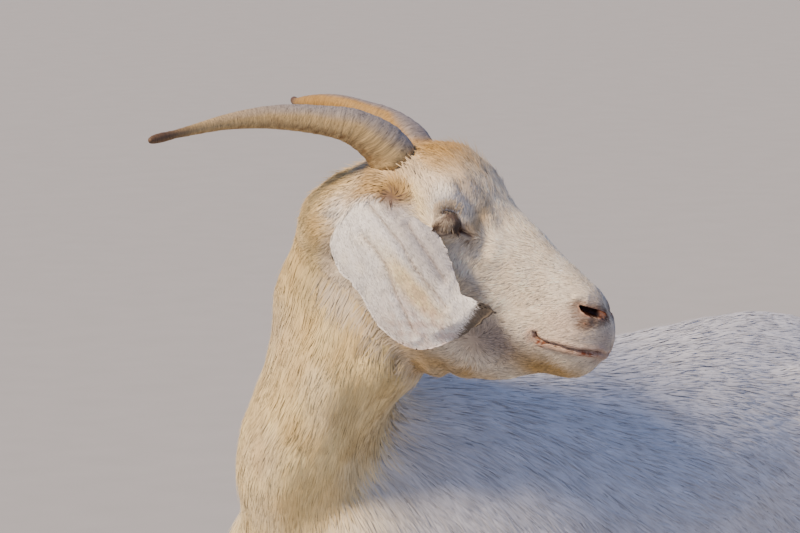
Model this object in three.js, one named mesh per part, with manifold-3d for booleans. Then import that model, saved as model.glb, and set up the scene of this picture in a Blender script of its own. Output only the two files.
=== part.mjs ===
// A lop-eared, horned white doe, life size, standing still and looking back over its left shoulder.
// Millimetres, +X is the way the body faces, +Y its left, +Z up, and the soles stand on z = 0.
// The solids reach out to the tips of the coat.
import * as THREE from "three";
import Module from "manifold-3d";

const wasm = await Module();
wasm.setup();

// ---- Driving dimensions ----------------------------------------------------------------------
const GAP = 0.4; // clearance left where two solids meet

const HEAD_TURN = 128; // degrees the head is turned to the left of straight ahead
const HEAD_DIP = 24; // degrees the line from poll to nose dips
const NAPE = [286.5, 76.7, 861.5]; // origin of the head's own frame: x to the nose, y left, z up

const EYE_RADIUS = 14;
const EYE_PLACE = [103, 47, 22];

const HORN_STEPS = 18;
const HORN_FLATNESS = 0.8; // side to side against front to back
// The left horn is not quite the right one's mirror: [share of its length, how much lower it runs]
const LEFT_HORN_DROP = [
  [0, 0], [0.2, 8], [0.5, 4], [0.8, -1], [1, -6],
];
// Horn: [share of its length, half size front to back]
const HORN_SIZE = [
  [0, 20], [0.12, 17], [0.3, 14.2], [0.5, 11.4], [0.72, 6.9], [0.88, 4.6], [0.97, 3.8], [1, 2],
];
const HORN_LINE = [
  [34, 26, 38],
  [26, 29, 51],
  [-6, 46, 63],
  [-42, 61, 56],
  [-75, 77, 43],
  [-99, 96, 29],
  [-117, 124, 15],
  [-132, 158, 3],
];

const EAR_THICKNESS = 7;
const EAR_RIM = 0.35; // share of that thickness left at the rim
const EAR_CORNER = { ahead: 9, out: 10, up: 6 }; // how far the lower front corner is drawn out

const CORONET = 42; // height where hoof meets hair
const SOLE_LENGTH = 68;
const CLAW_WIDTH = 25;
const CLAW_GAP = 3; // the slit between the two claws of a foot
const TOE_TAPER = 0.45; // share of its width that a claw loses at the toe
const TOE_LEAN = 3.2;
// Claw: [height, length, how far its middle lies ahead of the coronet's, width]
const CLAW = [
  [0, SOLE_LENGTH, 7, CLAW_WIDTH],
  [6, SOLE_LENGTH - 1, 6.5, CLAW_WIDTH + 0.6],
  [22, SOLE_LENGTH - 9, 3.5, CLAW_WIDTH],
  [CORONET - GAP - 6, SOLE_LENGTH - 18, 0.5, CLAW_WIDTH - 1.5],
  [CORONET - GAP, SOLE_LENGTH - 23, 0, CLAW_WIDTH - 3.5],
];

const LEG_SPREAD = 95; // from the body's middle plane to the middle of a foot
const FRONT_JOINT = 225; // height of the knee, where upper and lower leg part
const HIND_JOINT = 262; // height of the hock

// How far each foot stands ahead of its even place, so that the stance looks easy.
const STRIDE = { front_left: 14, front_right: -16, hind_left: -22, hind_right: 18 };

// ---- Shapes as rows of stations ---------------------------------------------------------------
// Head: flat over the crown, narrow along the jaw; [distance along the head, value]
const CROWN_FULL = 2.3;
const JAW_FULL = 1.75;
const HEAD_TOP = [
  [-30, -18], [-22, 2], [-5, 24], [22, 50], [48, 73], [70, 80], [90, 76], [108, 69], [126, 62],
  [142, 55], [168, 48], [195, 37], [222, 29], [242, 22], [256, 11], [266, 0], [272, -10],
];
const HEAD_BOTTOM = [
  [-30, -34], [-10, -56], [25, -84], [60, -101], [95, -110], [125, -112], [140, -109], [160, -101],
  [178, -97], [201, -88], [224, -70], [240, -66], [253, -61], [262, -53], [268, -41], [272, -30],
];
const HEAD_SIDE = [
  [-30, 16], [-18, 38], [10, 52], [50, 57], [80, 60], [104, 60], [122, 52], [140, 44], [165, 38],
  [195, 34], [225, 31.5], [245, 29], [258, 24], [266, 18], [272, 8],
];
const HEAD_WIDEST = [
  [-30, -24], [0, -20], [50, 0], [100, 12], [125, -8], [150, -24], [200, -30], [240, -20], [272, -18],
];
const HEAD_STEPS = 25;

// Neck: [station, centre x, y, z, heading of the nape side, its rise, half depth, half width]
const NECK = [
  [0, 200, 0, 545, 180, 50, 118, 80],
  [1, 263, 3, 598, 190, 40, 106, 78],
  [2, 292, 18, 645, 232, 18, 86, 70],
  [3, 288, 49, 698, 278, 8, 80, 67],
  [4, 274, 71, 748, 300, 16, 78, 61],
  [5, 268, 80, 796, 308, 36, 74, 56],
  [6, 270, 81, 828, 308, 54, 58, 48],
];

// Trunk: roof-like over the spine, round below; [x, top, bottom, half width, height of the widest]
const SPINE_FULL = 1.75;
const BELLY_FULL = 2.25;
const TRUNK = [
  [-398, 606, 500, 26, 560],
  [-384, 640, 452, 62, 560],
  [-350, 676, 418, 92, 560],
  [-290, 702, 400, 104, 560],
  [-215, 713, 388, 112, 560],
  [-130, 707, 356, 142, 535],
  [-40, 698, 326, 168, 510],
  [60, 692, 319, 170, 507],
  [150, 697, 327, 150, 512],
  [225, 700, 352, 124, 520],
  [285, 668, 385, 102, 520],
  [328, 600, 410, 76, 505],
  [348, 545, 436, 46, 490],
  [357, 512, 462, 20, 487],
];

// Legs: [height, x, half length, distance from the middle plane, half width]
const FRONT_LEG = [
  [612, 222, 40, 52, 26],
  [560, 245, 64, 76, 38],
  [500, 266, 75, 91, 45],
  [450, 274, 70, 95, 43],
  [400, 268, 54, 97, 38],
  [350, 263, 41, 97, 32],
  [300, 262, 32, 96, 27],
  [255, 265, 27, 95, 25],
  [FRONT_JOINT, 267, 27, LEG_SPREAD, 25],
  [195, 265, 23, LEG_SPREAD, 22],
  [150, 262, 18.5, LEG_SPREAD, 17.5],
  [112, 261, 18, LEG_SPREAD, 17],
  [85, 262, 22, LEG_SPREAD, 21],
  [62, 267, 20, LEG_SPREAD, 21],
  [CORONET, 274, 24, LEG_SPREAD, 25],
];
const HIND_LEG = [
  [664, -244, 58, 66, 24],
  [620, -256, 88, 78, 36],
  [560, -260, 110, 86, 44],
  [500, -254, 114, 90, 47],
  [445, -250, 99, 92, 45],
  [400, -258, 76, 94, 38],
  [360, -277, 54, 95, 32],
  [322, -300, 39, 96, 27],
  [290, -318, 33, 96, 24],
  [HIND_JOINT, -326, 32, LEG_SPREAD, 23],
  [235, -322, 26, LEG_SPREAD, 21],
  [190, -316, 20.5, LEG_SPREAD, 18.5],
  [130, -312, 19, LEG_SPREAD, 18],
  [90, -308, 23, LEG_SPREAD, 21],
  [64, -301, 20.5, LEG_SPREAD, 21],
  [CORONET, -292, 24, LEG_SPREAD, 25],
];

// Tail: [station, x, z, half width, half depth]
const TAIL = [
  [0, -360, 660, 15, 20],
  [1, -394, 648, 20, 19],
  [2, -416, 615, 26, 16],
  [3, -424, 570, 27, 13],
  [4, -425, 532, 17, 8],
  [5, -425, 514, 4, 3],
];

// Ear, in the head's frame: [station, x, y, z, half width, depth of its curl, tilt of its width]
const EAR = [
  [0, 14, 44, 8, 15, 2, 60],
  [1, 29, 62, 5, 26, 10, 62],
  [2, 56, 76, -11, 37, 15, 66],
  [3, 88, 83, -30, 40, 16, 70],
  [4, 119, 84, -44, 41, 12, 74],
  [5, 147, 84, -47, 37, 4, 78],
  [6, 160, 84, -46, 24, -2, 80],
];

// Udder: centre and half sizes of the bag, and one teat as [drop below its top, radius]
const UDDER = { centre: [-205, 0, 384], half: [64, 46, 46] };
const TEAT = { x: -192, y: 24, top: 354, lean: 0.2, taper: [[0, 10], [22, 8.5], [40, 7], [46, 3.5]] };

// ---- Helpers -----------------------------------------------------------------------------------
const radians = (degrees) => (degrees * Math.PI) / 180;
const vector = (x, y, z) => new THREE.Vector3(x, y, z);

// A smooth curve through rows of numbers, read at `key` in their first column.
function read(rows, key) {
  const last = rows.length - 2;
  const rising = Math.sign(rows[last + 1][0] - rows[0][0]);
  let i = 0;
  while (i < last && (key - rows[i + 1][0]) * rising > 0) i += 1;
  const slope = (k, column) => {
    const before = rows[Math.max(k - 1, 0)];
    const after = rows[Math.min(k + 1, rows.length - 1)];
    return (after[column] - before[column]) / (after[0] - before[0]);
  };
  const [a, b] = [rows[i], rows[i + 1]];
  const span = b[0] - a[0];
  const t = (key - a[0]) / span;
  const [t2, t3] = [t * t, t * t * t];
  return a.map(
    (value, column) =>
      (2 * t3 - 3 * t2 + 1) * value +
      (t3 - 2 * t2 + t) * span * slope(i, column) +
      (3 * t2 - 2 * t3) * b[column] +
      (t3 - t2) * span * slope(i + 1, column),
  );
}

// The rows themselves, with `steps` intervals in place of each one given.
function refine(rows, steps) {
  const keys = [];
  for (let i = 0; i + 1 < rows.length; i += 1)
    for (let s = 0; s < steps; s += 1)
      keys.push(rows[i][0] + ((rows[i + 1][0] - rows[i][0]) * s) / steps);
  keys.push(rows[rows.length - 1][0]);
  return keys.map((key) => read(rows, key));
}

// Points round an oval as [side, up]; `full` above 2 makes it squarer, below 2 more pointed.
function oval(count, side, up, down = up, fullUp = 2, fullDown = fullUp) {
  const bend = (value, full) => Math.sign(value) * Math.abs(value) ** (2 / full);
  return Array.from({ length: count }, (_, i) => {
    const angle = (2 * Math.PI * i) / count;
    const [s, c] = [Math.sin(angle), Math.cos(angle)];
    const full = c >= 0 ? fullUp : fullDown;
    return [side * bend(s, full), (c >= 0 ? up : down) * bend(c, full)];
  });
}

// One closed solid from points and triangles, turned to face out.
function solid(points, faces) {
  const volume = () => {
    let sum = 0;
    for (let i = 0; i < faces.length; i += 3) {
      const [a, b, c] = [points[faces[i]], points[faces[i + 1]], points[faces[i + 2]]];
      sum += a.dot(b.clone().cross(c));
    }
    return sum;
  };
  if (volume() < 0) faces.reverse();
  return new wasm.Manifold(
    new wasm.Mesh({
      numProp: 3,
      vertProperties: new Float32Array(points.flatMap((p) => [p.x, p.y, p.z])),
      triVerts: new Uint32Array(faces),
    }),
  );
}

// A skin over rings of points, closed at both ends on the middle of the ring there.
function loft(rings) {
  const count = rings[0].length;
  const points = rings.flat();
  const faces = [];
  for (let k = 0; k + 1 < rings.length; k += 1)
    for (let i = 0; i < count; i += 1) {
      const [a, b] = [k * count + i, k * count + ((i + 1) % count)];
      faces.push(a, b, b + count, a, b + count, a + count);
    }
  const middle = (ring) =>
    ring.reduce((sum, p) => sum.add(p), vector(0, 0, 0)).divideScalar(ring.length);
  points.push(middle(rings[0]), middle(rings[rings.length - 1]));
  const start = (rings.length - 1) * count;
  for (let i = 0; i < count; i += 1) {
    const next = (i + 1) % count;
    faces.push(next, i, points.length - 2, start + i, start + next, points.length - 1);
  }
  return solid(points, faces);
}

// The largest body left when `cutters` are taken from `shape`.
function carve(shape, ...cutters) {
  const rest = cutters.reduce((left, cutter) => left.subtract(cutter), shape);
  return rest.decompose().sort((a, b) => b.volume() - a.volume())[0];
}

function mesh(name, shape, material) {
  const { vertProperties, triVerts } = shape.getMesh();
  const geometry = new THREE.BufferGeometry();
  geometry.setAttribute("position", new THREE.BufferAttribute(vertProperties, 3));
  geometry.setIndex(new THREE.BufferAttribute(triVerts, 1));
  geometry.computeVertexNormals();
  const made = new THREE.Mesh(geometry, material);
  made.name = name;
  return made;
}

const finish = (color, roughness) =>
  new THREE.MeshStandardMaterial({ color, roughness, metalness: 0 });
const COAT = finish("#e8dcc8", 0.9);
const EAR_COAT = finish("#d8d3cc", 0.9);
const BARE_SKIN = finish("#dfb6a4", 0.6);
const HORN = finish("#9a8a72", 0.55);
const HOOF = finish("#5d5348", 0.6);
const IRIS = finish("#a87a34", 0.1);

// ---- Trunk, neck, tail, udder ------------------------------------------------------------------
function trunk(grow = 0) {
  const rings = refine(TRUNK, 2).map(([x, top, bottom, side, widest]) =>
    oval(22, side + grow, top - widest + grow, widest - bottom + grow, SPINE_FULL, BELLY_FULL).map(
      ([y, z]) => vector(x, y, widest + z),
    ),
  );
  return loft(rings);
}

function neck(grow = 0) {
  const path = refine(NECK, 2);
  const rings = path.map(([, x, y, z, heading, rise, deep, wide]) => {
    const level = vector(Math.cos(radians(heading)), Math.sin(radians(heading)), 0);
    const nape = level.clone().multiplyScalar(Math.cos(radians(rise)));
    nape.z = Math.sin(radians(rise));
    const side = vector(0, 0, 1).cross(level);
    return oval(20, wide + grow, deep + grow).map(([s, u]) =>
      vector(x, y, z).addScaledVector(side, s).addScaledVector(nape, u),
    );
  });
  return loft(rings);
}

function tail() {
  const rings = refine(TAIL, 2).map(([, x, z, wide, deep], i, rows) => {
    const [before, after] = [rows[Math.max(i - 1, 0)], rows[Math.min(i + 1, rows.length - 1)]];
    const run = vector(after[1] - before[1], 0, after[2] - before[2]).normalize();
    const up = vector(-run.z, 0, run.x);
    return oval(8, wide, deep).map(([s, u]) => vector(x, s, z).addScaledVector(up, u));
  });
  return loft(rings);
}

function ball(centre, half, rings, count) {
  const list = [];
  for (let k = 1; k < rings; k += 1) {
    const angle = (Math.PI * k) / rings;
    const ring = oval(count, half[0] * Math.sin(angle), half[1] * Math.sin(angle));
    list.push(
      ring.map(([x, y]) =>
        vector(centre[0] + x, centre[1] + y, centre[2] + half[2] * Math.cos(angle)),
      ),
    );
  }
  return loft(list);
}

// The bag hangs between the thighs; each teat is a short cone with a rounded end.
function udder() {
  const teat = (side) => {
    const rings = TEAT.taper.map(([drop, radius]) =>
      oval(8, radius, radius).map(([x, y]) =>
        vector(TEAT.x + TEAT.lean * drop + x, side * TEAT.y + y, TEAT.top - drop),
      ),
    );
    return loft(rings);
  };
  return ball(UDDER.centre, UDDER.half, 7, 12).add(teat(1)).add(teat(-1));
}

// ---- Legs --------------------------------------------------------------------------------------
function leg(rows, from, to, side, stride, grow = 0) {
  const top = rows[0][0];
  const kept = rows.filter(([height]) => height <= from && height >= to);
  const rings = refine(kept, 2).map(([height, x, long, y, wide]) => {
    const step = stride * (1 - height / top);
    return oval(10, wide + grow, long + grow, long + grow, 2.2).map(([s, u]) =>
      vector(x + step + u, side * (y + s), height),
    );
  });
  return loft(rings);
}

// One claw of a foot: flat sole, sloped toe, upright heel, the toes leaning together.
function claw(coronetX, side, inner) {
  const middle = side * LEG_SPREAD + inner * (CLAW_GAP + CLAW_WIDTH) * 0.5;
  const rings = CLAW.map(([height, long, ahead, wide]) =>
    oval(10, wide / 2, long / 2, long / 2, 2.6).map(([s, u]) => {
      const toe = Math.max((2 * u) / long, 0) ** 2; // 1 at the tip of the toe
      const y = middle + s * (1 - TOE_TAPER * toe) - inner * TOE_LEAN * toe;
      return vector(coronetX + ahead + u, y, height);
    }),
  );
  return loft(rings);
}

// ---- Head --------------------------------------------------------------------------------------
// Smooth swellings of the head's surface: [x, height, from the middle plane, reach, amount]
const SWELLINGS = [
  [100, 50, 42, 24, 9], // brow over the eye
  [128, 8, 40, 16, 4], // cheekbone below the inner corner
  [118, -62, 34, 34, 7], // chewing muscle at the jaw's angle
  [252, 2, 22, 14, 4], // wing of the nostril
  [236, -26, 26, 18, 3], // upper lip
  [196, -40, 32, 22, 2.5], // cheek
];

// A point of the head's plain surface, pushed out by the swellings near it.
function swell(x, y, z, level) {
  const point = vector(x, y, z);
  if (y === 0) return point;
  for (const [sx, sz, sy, reach, amount] of SWELLINGS) {
    const away = Math.hypot(x - sx, point.z - sz, Math.abs(point.y) - sy) / reach;
    const out = vector(0, Math.sign(y) * sy, sz - level).normalize();
    point.addScaledVector(out, amount * Math.exp(-away * away));
  }
  return point;
}

function head(grow = 0) {
  const [first, last] = [HEAD_TOP[0][0], HEAD_TOP[HEAD_TOP.length - 1][0]];
  const rings = [];
  for (let k = 0; k <= HEAD_STEPS; k += 1) {
    // Stations stand closer together towards both ends.
    const share = k / HEAD_STEPS;
    const crowded = 0.5 - 0.5 * Math.cos(Math.PI * share);
    const x = first + (last - first) * (0.55 * share + 0.45 * crowded);
    const level = read(HEAD_WIDEST, x)[1];
    const side = read(HEAD_SIDE, x)[1] + grow;
    const up = read(HEAD_TOP, x)[1] - level + grow;
    const down = level - read(HEAD_BOTTOM, x)[1] + grow;
    const ring = oval(24, side, up, down, CROWN_FULL, JAW_FULL);
    rings.push(ring.map(([y, z]) => swell(x, y, level + z, level)));
  }
  return loft(rings);
}

function horn(side) {
  const line = new THREE.CatmullRomCurve3(HORN_LINE.map(([x, y, z]) => vector(x, side * y, z)));
  const rings = [];
  for (let k = 0; k <= HORN_STEPS; k += 1) {
    const share = k / HORN_STEPS;
    const centre = line.getPointAt(share);
    const run = line.getTangentAt(share);
    const across = vector(0, 1, 0).addScaledVector(run, -run.y).normalize();
    const up = run.clone().cross(across).normalize();
    const deep = read(HORN_SIZE, share)[1];
    const wide = deep * HORN_FLATNESS;
    if (side > 0) centre.z -= read(LEFT_HORN_DROP, share)[1];
    rings.push(
      oval(10, wide, deep).map(([s, u]) =>
        centre.clone().addScaledVector(across, s).addScaledVector(up, u),
      ),
    );
  }
  return loft(rings);
}

// The blade hangs from a round root; its outer face bulges and its lower front corner turns out.
function ear(side) {
  const faceSteps = 6;
  const rings = refine(EAR, 2).map(([station, x, y, z, wide, curl, tilt]) => {
    const across = vector(Math.cos(radians(tilt)), 0, Math.sin(radians(tilt)));
    const thickness = EAR_THICKNESS * (station > 5.4 ? 0.6 : 1);
    const place = (u, depth) => {
      const corner = Math.max(0, u) ** 3 * Math.max(0, (station - 4) / 2) ** 0.8;
      const out = y - curl * u * u + EAR_CORNER.out * corner - depth;
      const point = vector(x + EAR_CORNER.ahead * corner, side * out, z);
      return point.addScaledVector(across, wide * u + EAR_CORNER.up * corner);
    };
    const outer = [];
    const inner = [];
    for (let i = 0; i <= faceSteps; i += 1) {
      const u = -1 + (2 * i) / faceSteps;
      outer.push(place(u, 0));
      inner.unshift(place(u, thickness * (EAR_RIM + (1 - EAR_RIM) * (1 - u * u))));
    }
    return [...outer, ...inner];
  });
  return loft(rings);
}

// ---- Assembly ----------------------------------------------------------------------------------
const headFrame = new THREE.Group();
const heading = vector(Math.cos(radians(HEAD_TURN)), Math.sin(radians(HEAD_TURN)), 0);
const nose = heading.clone().multiplyScalar(Math.cos(radians(HEAD_DIP)));
nose.z = -Math.sin(radians(HEAD_DIP));
const leftward = vector(0, 0, 1).cross(heading);
headFrame.matrix.makeBasis(nose, leftward, nose.clone().cross(leftward));
headFrame.matrix.setPosition(...NAPE);
headFrame.matrix.decompose(headFrame.position, headFrame.quaternion, headFrame.scale);
const placed = (shape) => shape.transform(headFrame.matrix.elements);
const unplaced = (shape) => shape.transform(headFrame.matrix.clone().invert().elements);

const body = new THREE.Group();
body.add(headFrame);

const trunkCutter = trunk(GAP);
const headCutter = head(GAP);
const neckCutter = neck(GAP);

body.add(mesh("trunk", trunk(), COAT));
body.add(mesh("neck", carve(neck(), trunkCutter, placed(headCutter)), COAT));
body.add(mesh("tail", carve(tail(), trunkCutter), COAT));

const eyeball = (side, radius) => {
  const [x, y, z] = EYE_PLACE;
  return ball([x, side * y, z], [radius, radius, radius], 7, 10);
};
const sockets = [1, -1].map((side) => eyeball(side, EYE_RADIUS + GAP));
headFrame.add(mesh("head", carve(head(), ...sockets), COAT));

// What a leg's lower part gives up so that it stays clear of the upper part above it.
function parting(x, side, height) {
  const reach = 160;
  const rings = [height - GAP, height].map((z) =>
    oval(4, reach, reach).map(([s, u]) => vector(x + u, side * LEG_SPREAD + s, z)),
  );
  return loft(rings);
}

const neckInHead = unplaced(neckCutter);
const legCutters = [];
for (const [sideName, side] of [["left", 1], ["right", -1]]) {
  headFrame.add(mesh(`eye_${sideName}`, eyeball(side, EYE_RADIUS), IRIS));
  headFrame.add(mesh(`horn_${sideName}`, carve(horn(side), headCutter), HORN));
  headFrame.add(mesh(`ear_${sideName}`, carve(ear(side), headCutter, neckInHead), EAR_COAT));
  for (const [end, rows, joint] of [["front", FRONT_LEG, FRONT_JOINT], ["hind", HIND_LEG, HIND_JOINT]]) {
    const name = `leg_${end}_${sideName}`;
    const stride = STRIDE[`${end}_${sideName}`];
    const [top, topX] = rows[0];
    const coronetX = rows[rows.length - 1][1] + stride * (1 - CORONET / top);
    const upper = leg(rows, top, joint, side, stride);
    const lower = leg(rows, joint, CORONET, side, stride);
    legCutters.push(leg(rows, top, joint, side, stride, GAP));
    body.add(mesh(`${name}_upper`, carve(upper, trunkCutter, neckCutter), COAT));
    body.add(mesh(`${name}_lower`, carve(lower, parting(topX, side, joint)), COAT));
    for (const [clawName, inner] of [["outer", side], ["inner", -side]])
      body.add(mesh(`${name}_claw_${clawName}`, claw(coronetX, side, inner), HOOF));
  }
}
body.add(mesh("udder", carve(udder(), trunkCutter, ...legCutters), BARE_SKIN));

// The origin is the middle of the outline on the floor.
body.updateMatrixWorld(true);
const outline = new THREE.Box3().setFromObject(body, true);
const centre = outline.getCenter(vector(0, 0, 0));
body.position.set(-centre.x, -centre.y, 0);

export default body;
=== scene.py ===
# A life-size white doe of a lop-eared meat breed, horned, standing still and looking back over her left
# shoulder. Metres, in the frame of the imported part: +X is the way the body faces, +Y its left, +Z up, and the
# soles are on z = 0. Landmarks of the head are millimetres in the head's own frame: x to the muzzle, y to its
# left, z up. Folded places have the left half laid on the right one, where y is negative.
import math

import bmesh
import bpy
import numpy as np
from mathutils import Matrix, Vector
from mathutils.bvhtree import BVHTree


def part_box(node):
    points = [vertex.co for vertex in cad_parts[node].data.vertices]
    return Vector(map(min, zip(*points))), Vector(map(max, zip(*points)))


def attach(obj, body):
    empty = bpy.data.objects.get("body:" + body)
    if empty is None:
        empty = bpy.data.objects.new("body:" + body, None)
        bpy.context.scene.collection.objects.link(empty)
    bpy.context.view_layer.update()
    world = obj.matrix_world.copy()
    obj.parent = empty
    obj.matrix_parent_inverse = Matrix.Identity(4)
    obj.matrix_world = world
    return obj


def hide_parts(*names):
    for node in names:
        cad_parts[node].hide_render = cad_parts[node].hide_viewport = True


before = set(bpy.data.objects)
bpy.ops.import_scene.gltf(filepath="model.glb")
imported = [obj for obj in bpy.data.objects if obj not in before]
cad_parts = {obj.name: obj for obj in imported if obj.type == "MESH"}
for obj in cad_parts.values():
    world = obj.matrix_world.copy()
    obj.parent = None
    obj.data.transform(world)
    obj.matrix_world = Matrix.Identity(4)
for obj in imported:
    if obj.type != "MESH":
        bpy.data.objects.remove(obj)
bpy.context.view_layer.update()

MM = 0.001
BODY = "root"
rng = np.random.default_rng(20)

# ---- The head's own frame ----
HEAD_TURN = math.radians(128)
HEAD_DIP = math.radians(24)
NAPE = (0.2865, 0.0767, 0.8615)  # before the part was centred
RUMP_X = -0.398  # the trunk's rear end, before the part was centred
trunk_low, trunk_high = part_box("trunk")
SHIFT = np.array([trunk_low.x - RUMP_X, (trunk_low.y + trunk_high.y) / 2, 0])
HEAD_ORIGIN = np.array(NAPE) + SHIFT
turn_cos, turn_sin = math.cos(HEAD_TURN), math.sin(HEAD_TURN)
dip_cos, dip_sin = math.cos(HEAD_DIP), math.sin(HEAD_DIP)
HEAD_AXES = np.array([
    (dip_cos * turn_cos, dip_cos * turn_sin, -dip_sin),
    (-turn_sin, turn_cos, 0),
    (dip_sin * turn_cos, dip_sin * turn_sin, dip_cos),
])
FLIPS = {"right": np.array((1, 1, 1)), "left": np.array((1, -1, 1))}  # from a folded place to the side's own


def to_head(points):
    """Places in the head's frame, in millimetres."""
    return (points - HEAD_ORIGIN) @ HEAD_AXES.T / MM


def from_head(points):
    return HEAD_ORIGIN + np.asarray(points, float) @ HEAD_AXES * MM


def folded(points):
    """Both halves laid on the right one, whose y is negative."""
    return points * (1, 0, 1) - np.abs(points) * (0, 1, 0)


def fold_sign(points):
    """What y is multiplied by to fold a direction, or to turn it back: -1 on the left half."""
    return np.where(points[:, 1] > 0, -1.0, 1.0)


def by_side(points, right, left):
    """The one value on the head's right half, the other on its left."""
    return np.where((to_head(points)[:, 1] > 0)[:, None], left, right)


# ---- Small numeric helpers ----
def soft(value, low, high):
    """0 below low, 1 above high, smooth between; high may be the lower number."""
    t = np.clip((value - low) / (high - low), 0, 1)
    return t * t * (3 - 2 * t)


def bell(value, width):
    """1 at zero, fading both ways over the width."""
    return np.exp(-((value / width) ** 2))


def mound(points, centre, reach):
    """1 at the centre, fading over reach, which may differ along the three axes."""
    return np.exp(-(((points - np.asarray(centre, float)) / reach) ** 2).sum(-1))


def unit(vectors):
    return vectors / np.maximum(np.linalg.norm(vectors, axis=-1, keepdims=True), 1e-12)


def along_skin(vectors, out):
    """The part of each vector that lies along the skin, whose normal is out."""
    return vectors - out * (vectors * out).sum(1)[:, None]


def from_line(points, line):
    """Distance of each point from a polyline, and the share of the line's length at the nearest place."""
    line = np.asarray(line, float)
    steps = np.linalg.norm(np.diff(line, axis=0), axis=1)
    before = np.concatenate([[0], np.cumsum(steps)])
    gap = np.full(len(points), np.inf)
    share = np.zeros(len(points))
    for start, end, run, step in zip(line[:-1], line[1:], before, steps):
        t = np.clip((points - start) @ (end - start) / step**2, 0, 1)
        away = np.linalg.norm(points - start - t[:, None] * (end - start), axis=1)
        nearer = away < gap
        gap[nearer] = away[nearer]
        share[nearer] = (run + t[nearer] * step) / before[-1]
    return gap, share


def shares_of(line):
    """How far along a polyline each of its own points lies, as a share of its length."""
    before = np.cumsum(np.linalg.norm(np.diff(np.asarray(line, float), axis=0), axis=1))
    return np.concatenate([[0], before]) / before[-1]


def on_line(share, line):
    """The places at shares of a polyline's length."""
    return np.stack([np.interp(share, shares_of(line), column) for column in np.asarray(line, float).T], 1)


def ripple(points, size, seed, waves=14):
    """A smooth random pattern between about -1 and 1, whose blotches are about size across."""
    dice = np.random.default_rng(seed)
    heading = unit(dice.normal(size=(waves, 3)))
    pace = math.tau / (2 * size) * dice.uniform(0.6, 1.4, waves)
    phase = dice.uniform(0, math.tau, waves)
    return np.sin(points @ (heading * pace[:, None]).T + phase).sum(1) / math.sqrt(waves)


# ---- Mesh helpers ----
SMOOTHING = (0.55, -0.56)  # in and out again, so that a form keeps its size
MELTING = (0.5,)  # small bumps melt away; wide forms hardly shrink


def rows(items, name, width, kind=np.float32):
    """One property of every item, as rows of width numbers."""
    found = np.empty(len(items) * width, kind)
    items.foreach_get(name, found)
    return found.reshape(-1, width)


def places(mesh):
    return rows(mesh.vertices, "co", 3).astype(float)


def normals(mesh):
    return rows(mesh.vertex_normals, "vector", 3).astype(float)


def edges(mesh):
    return rows(mesh.edges, "vertices", 2, np.int32)


def triangles(mesh):
    mesh.calc_loop_triangles()
    return rows(mesh.loop_triangles, "vertices", 3, np.int32)


def put_places(mesh, points):
    mesh.vertices.foreach_set("co", points.astype(np.float32).ravel())
    mesh.update()


def neighbours_mean(pairs, values):
    """Each vertex's mean of its neighbours' values."""
    a, b = pairs.T
    size = len(values)
    count = np.bincount(a, minlength=size) + np.bincount(b, minlength=size)
    total = np.stack([np.bincount(a, part[b], size) + np.bincount(b, part[a], size) for part in values.T], 1)
    return total / np.maximum(count, 1)[:, None]


def relax(mesh, pulls, share=1.0):
    """Draws each vertex towards the mean of its neighbours once for each pull, or away if that is below 0."""
    pairs = edges(mesh)
    points = places(mesh)
    share = np.broadcast_to(share, len(points))
    for pull in pulls:
        points += (share * pull)[:, None] * (neighbours_mean(pairs, points) - points)
    put_places(mesh, points)


def colour_of(mesh, name, values):
    """Keeps a colour for each vertex."""
    layer = mesh.color_attributes.new(name, "FLOAT_COLOR", "POINT")
    filled = np.ones((len(values), 4), np.float32)
    filled[:, :3] = values
    layer.data.foreach_set("color", filled.ravel())


def attribute_of(mesh, name, values):
    """Keeps a number or a vector for each vertex."""
    kind, field = ("FLOAT", "value") if values.ndim == 1 else ("FLOAT_VECTOR", "vector")
    layer = mesh.attributes.new(name, kind, "POINT")
    layer.data.foreach_set(field, values.astype(np.float32).ravel())


def mesh_from(name, made):
    """A new mesh from a bmesh, which is then done with."""
    mesh = bpy.data.meshes.new(name)
    made.to_mesh(mesh)
    made.free()
    return mesh


def shown(name, mesh, *materials):
    """A new smooth object at the origin, with its materials."""
    made = bpy.data.objects.new(name, mesh)
    bpy.context.scene.collection.objects.link(made)
    for material in materials:
        mesh.materials.append(material)
    mesh.shade_smooth()
    return made


def with_modifiers(made):
    """The object, with its modifiers applied to its mesh."""
    bpy.context.view_layer.update()
    result = bpy.data.meshes.new_from_object(made.evaluated_get(bpy.context.evaluated_depsgraph_get()))
    made.modifiers.clear()
    made.data = result
    return made


def tree_of(mesh):
    """A search tree over the mesh's faces."""
    return BVHTree.FromPolygons([v.co for v in mesh.vertices], [p.vertices for p in mesh.polygons])


def remeshed(name, nodes, voxel, swell=0.0):
    """One closed surface of even small faces round copies of CAD nodes, each swollen a little."""
    joined = bmesh.new()
    spare = bpy.data.meshes.new("spare")
    for node in nodes:
        part = bmesh.new()
        part.from_mesh(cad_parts[node].data)
        bmesh.ops.remove_doubles(part, verts=part.verts, dist=1e-6)
        part.normal_update()
        for vertex in part.verts:
            vertex.co += vertex.normal * swell
        part.to_mesh(spare)
        part.free()
        joined.from_mesh(spare)
    bpy.data.meshes.remove(spare)
    made = shown(name, mesh_from(name, joined))
    grid = made.modifiers.new("grid", "REMESH")
    grid.mode = "VOXEL"
    grid.voxel_size = voxel
    return with_modifiers(made)


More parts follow.
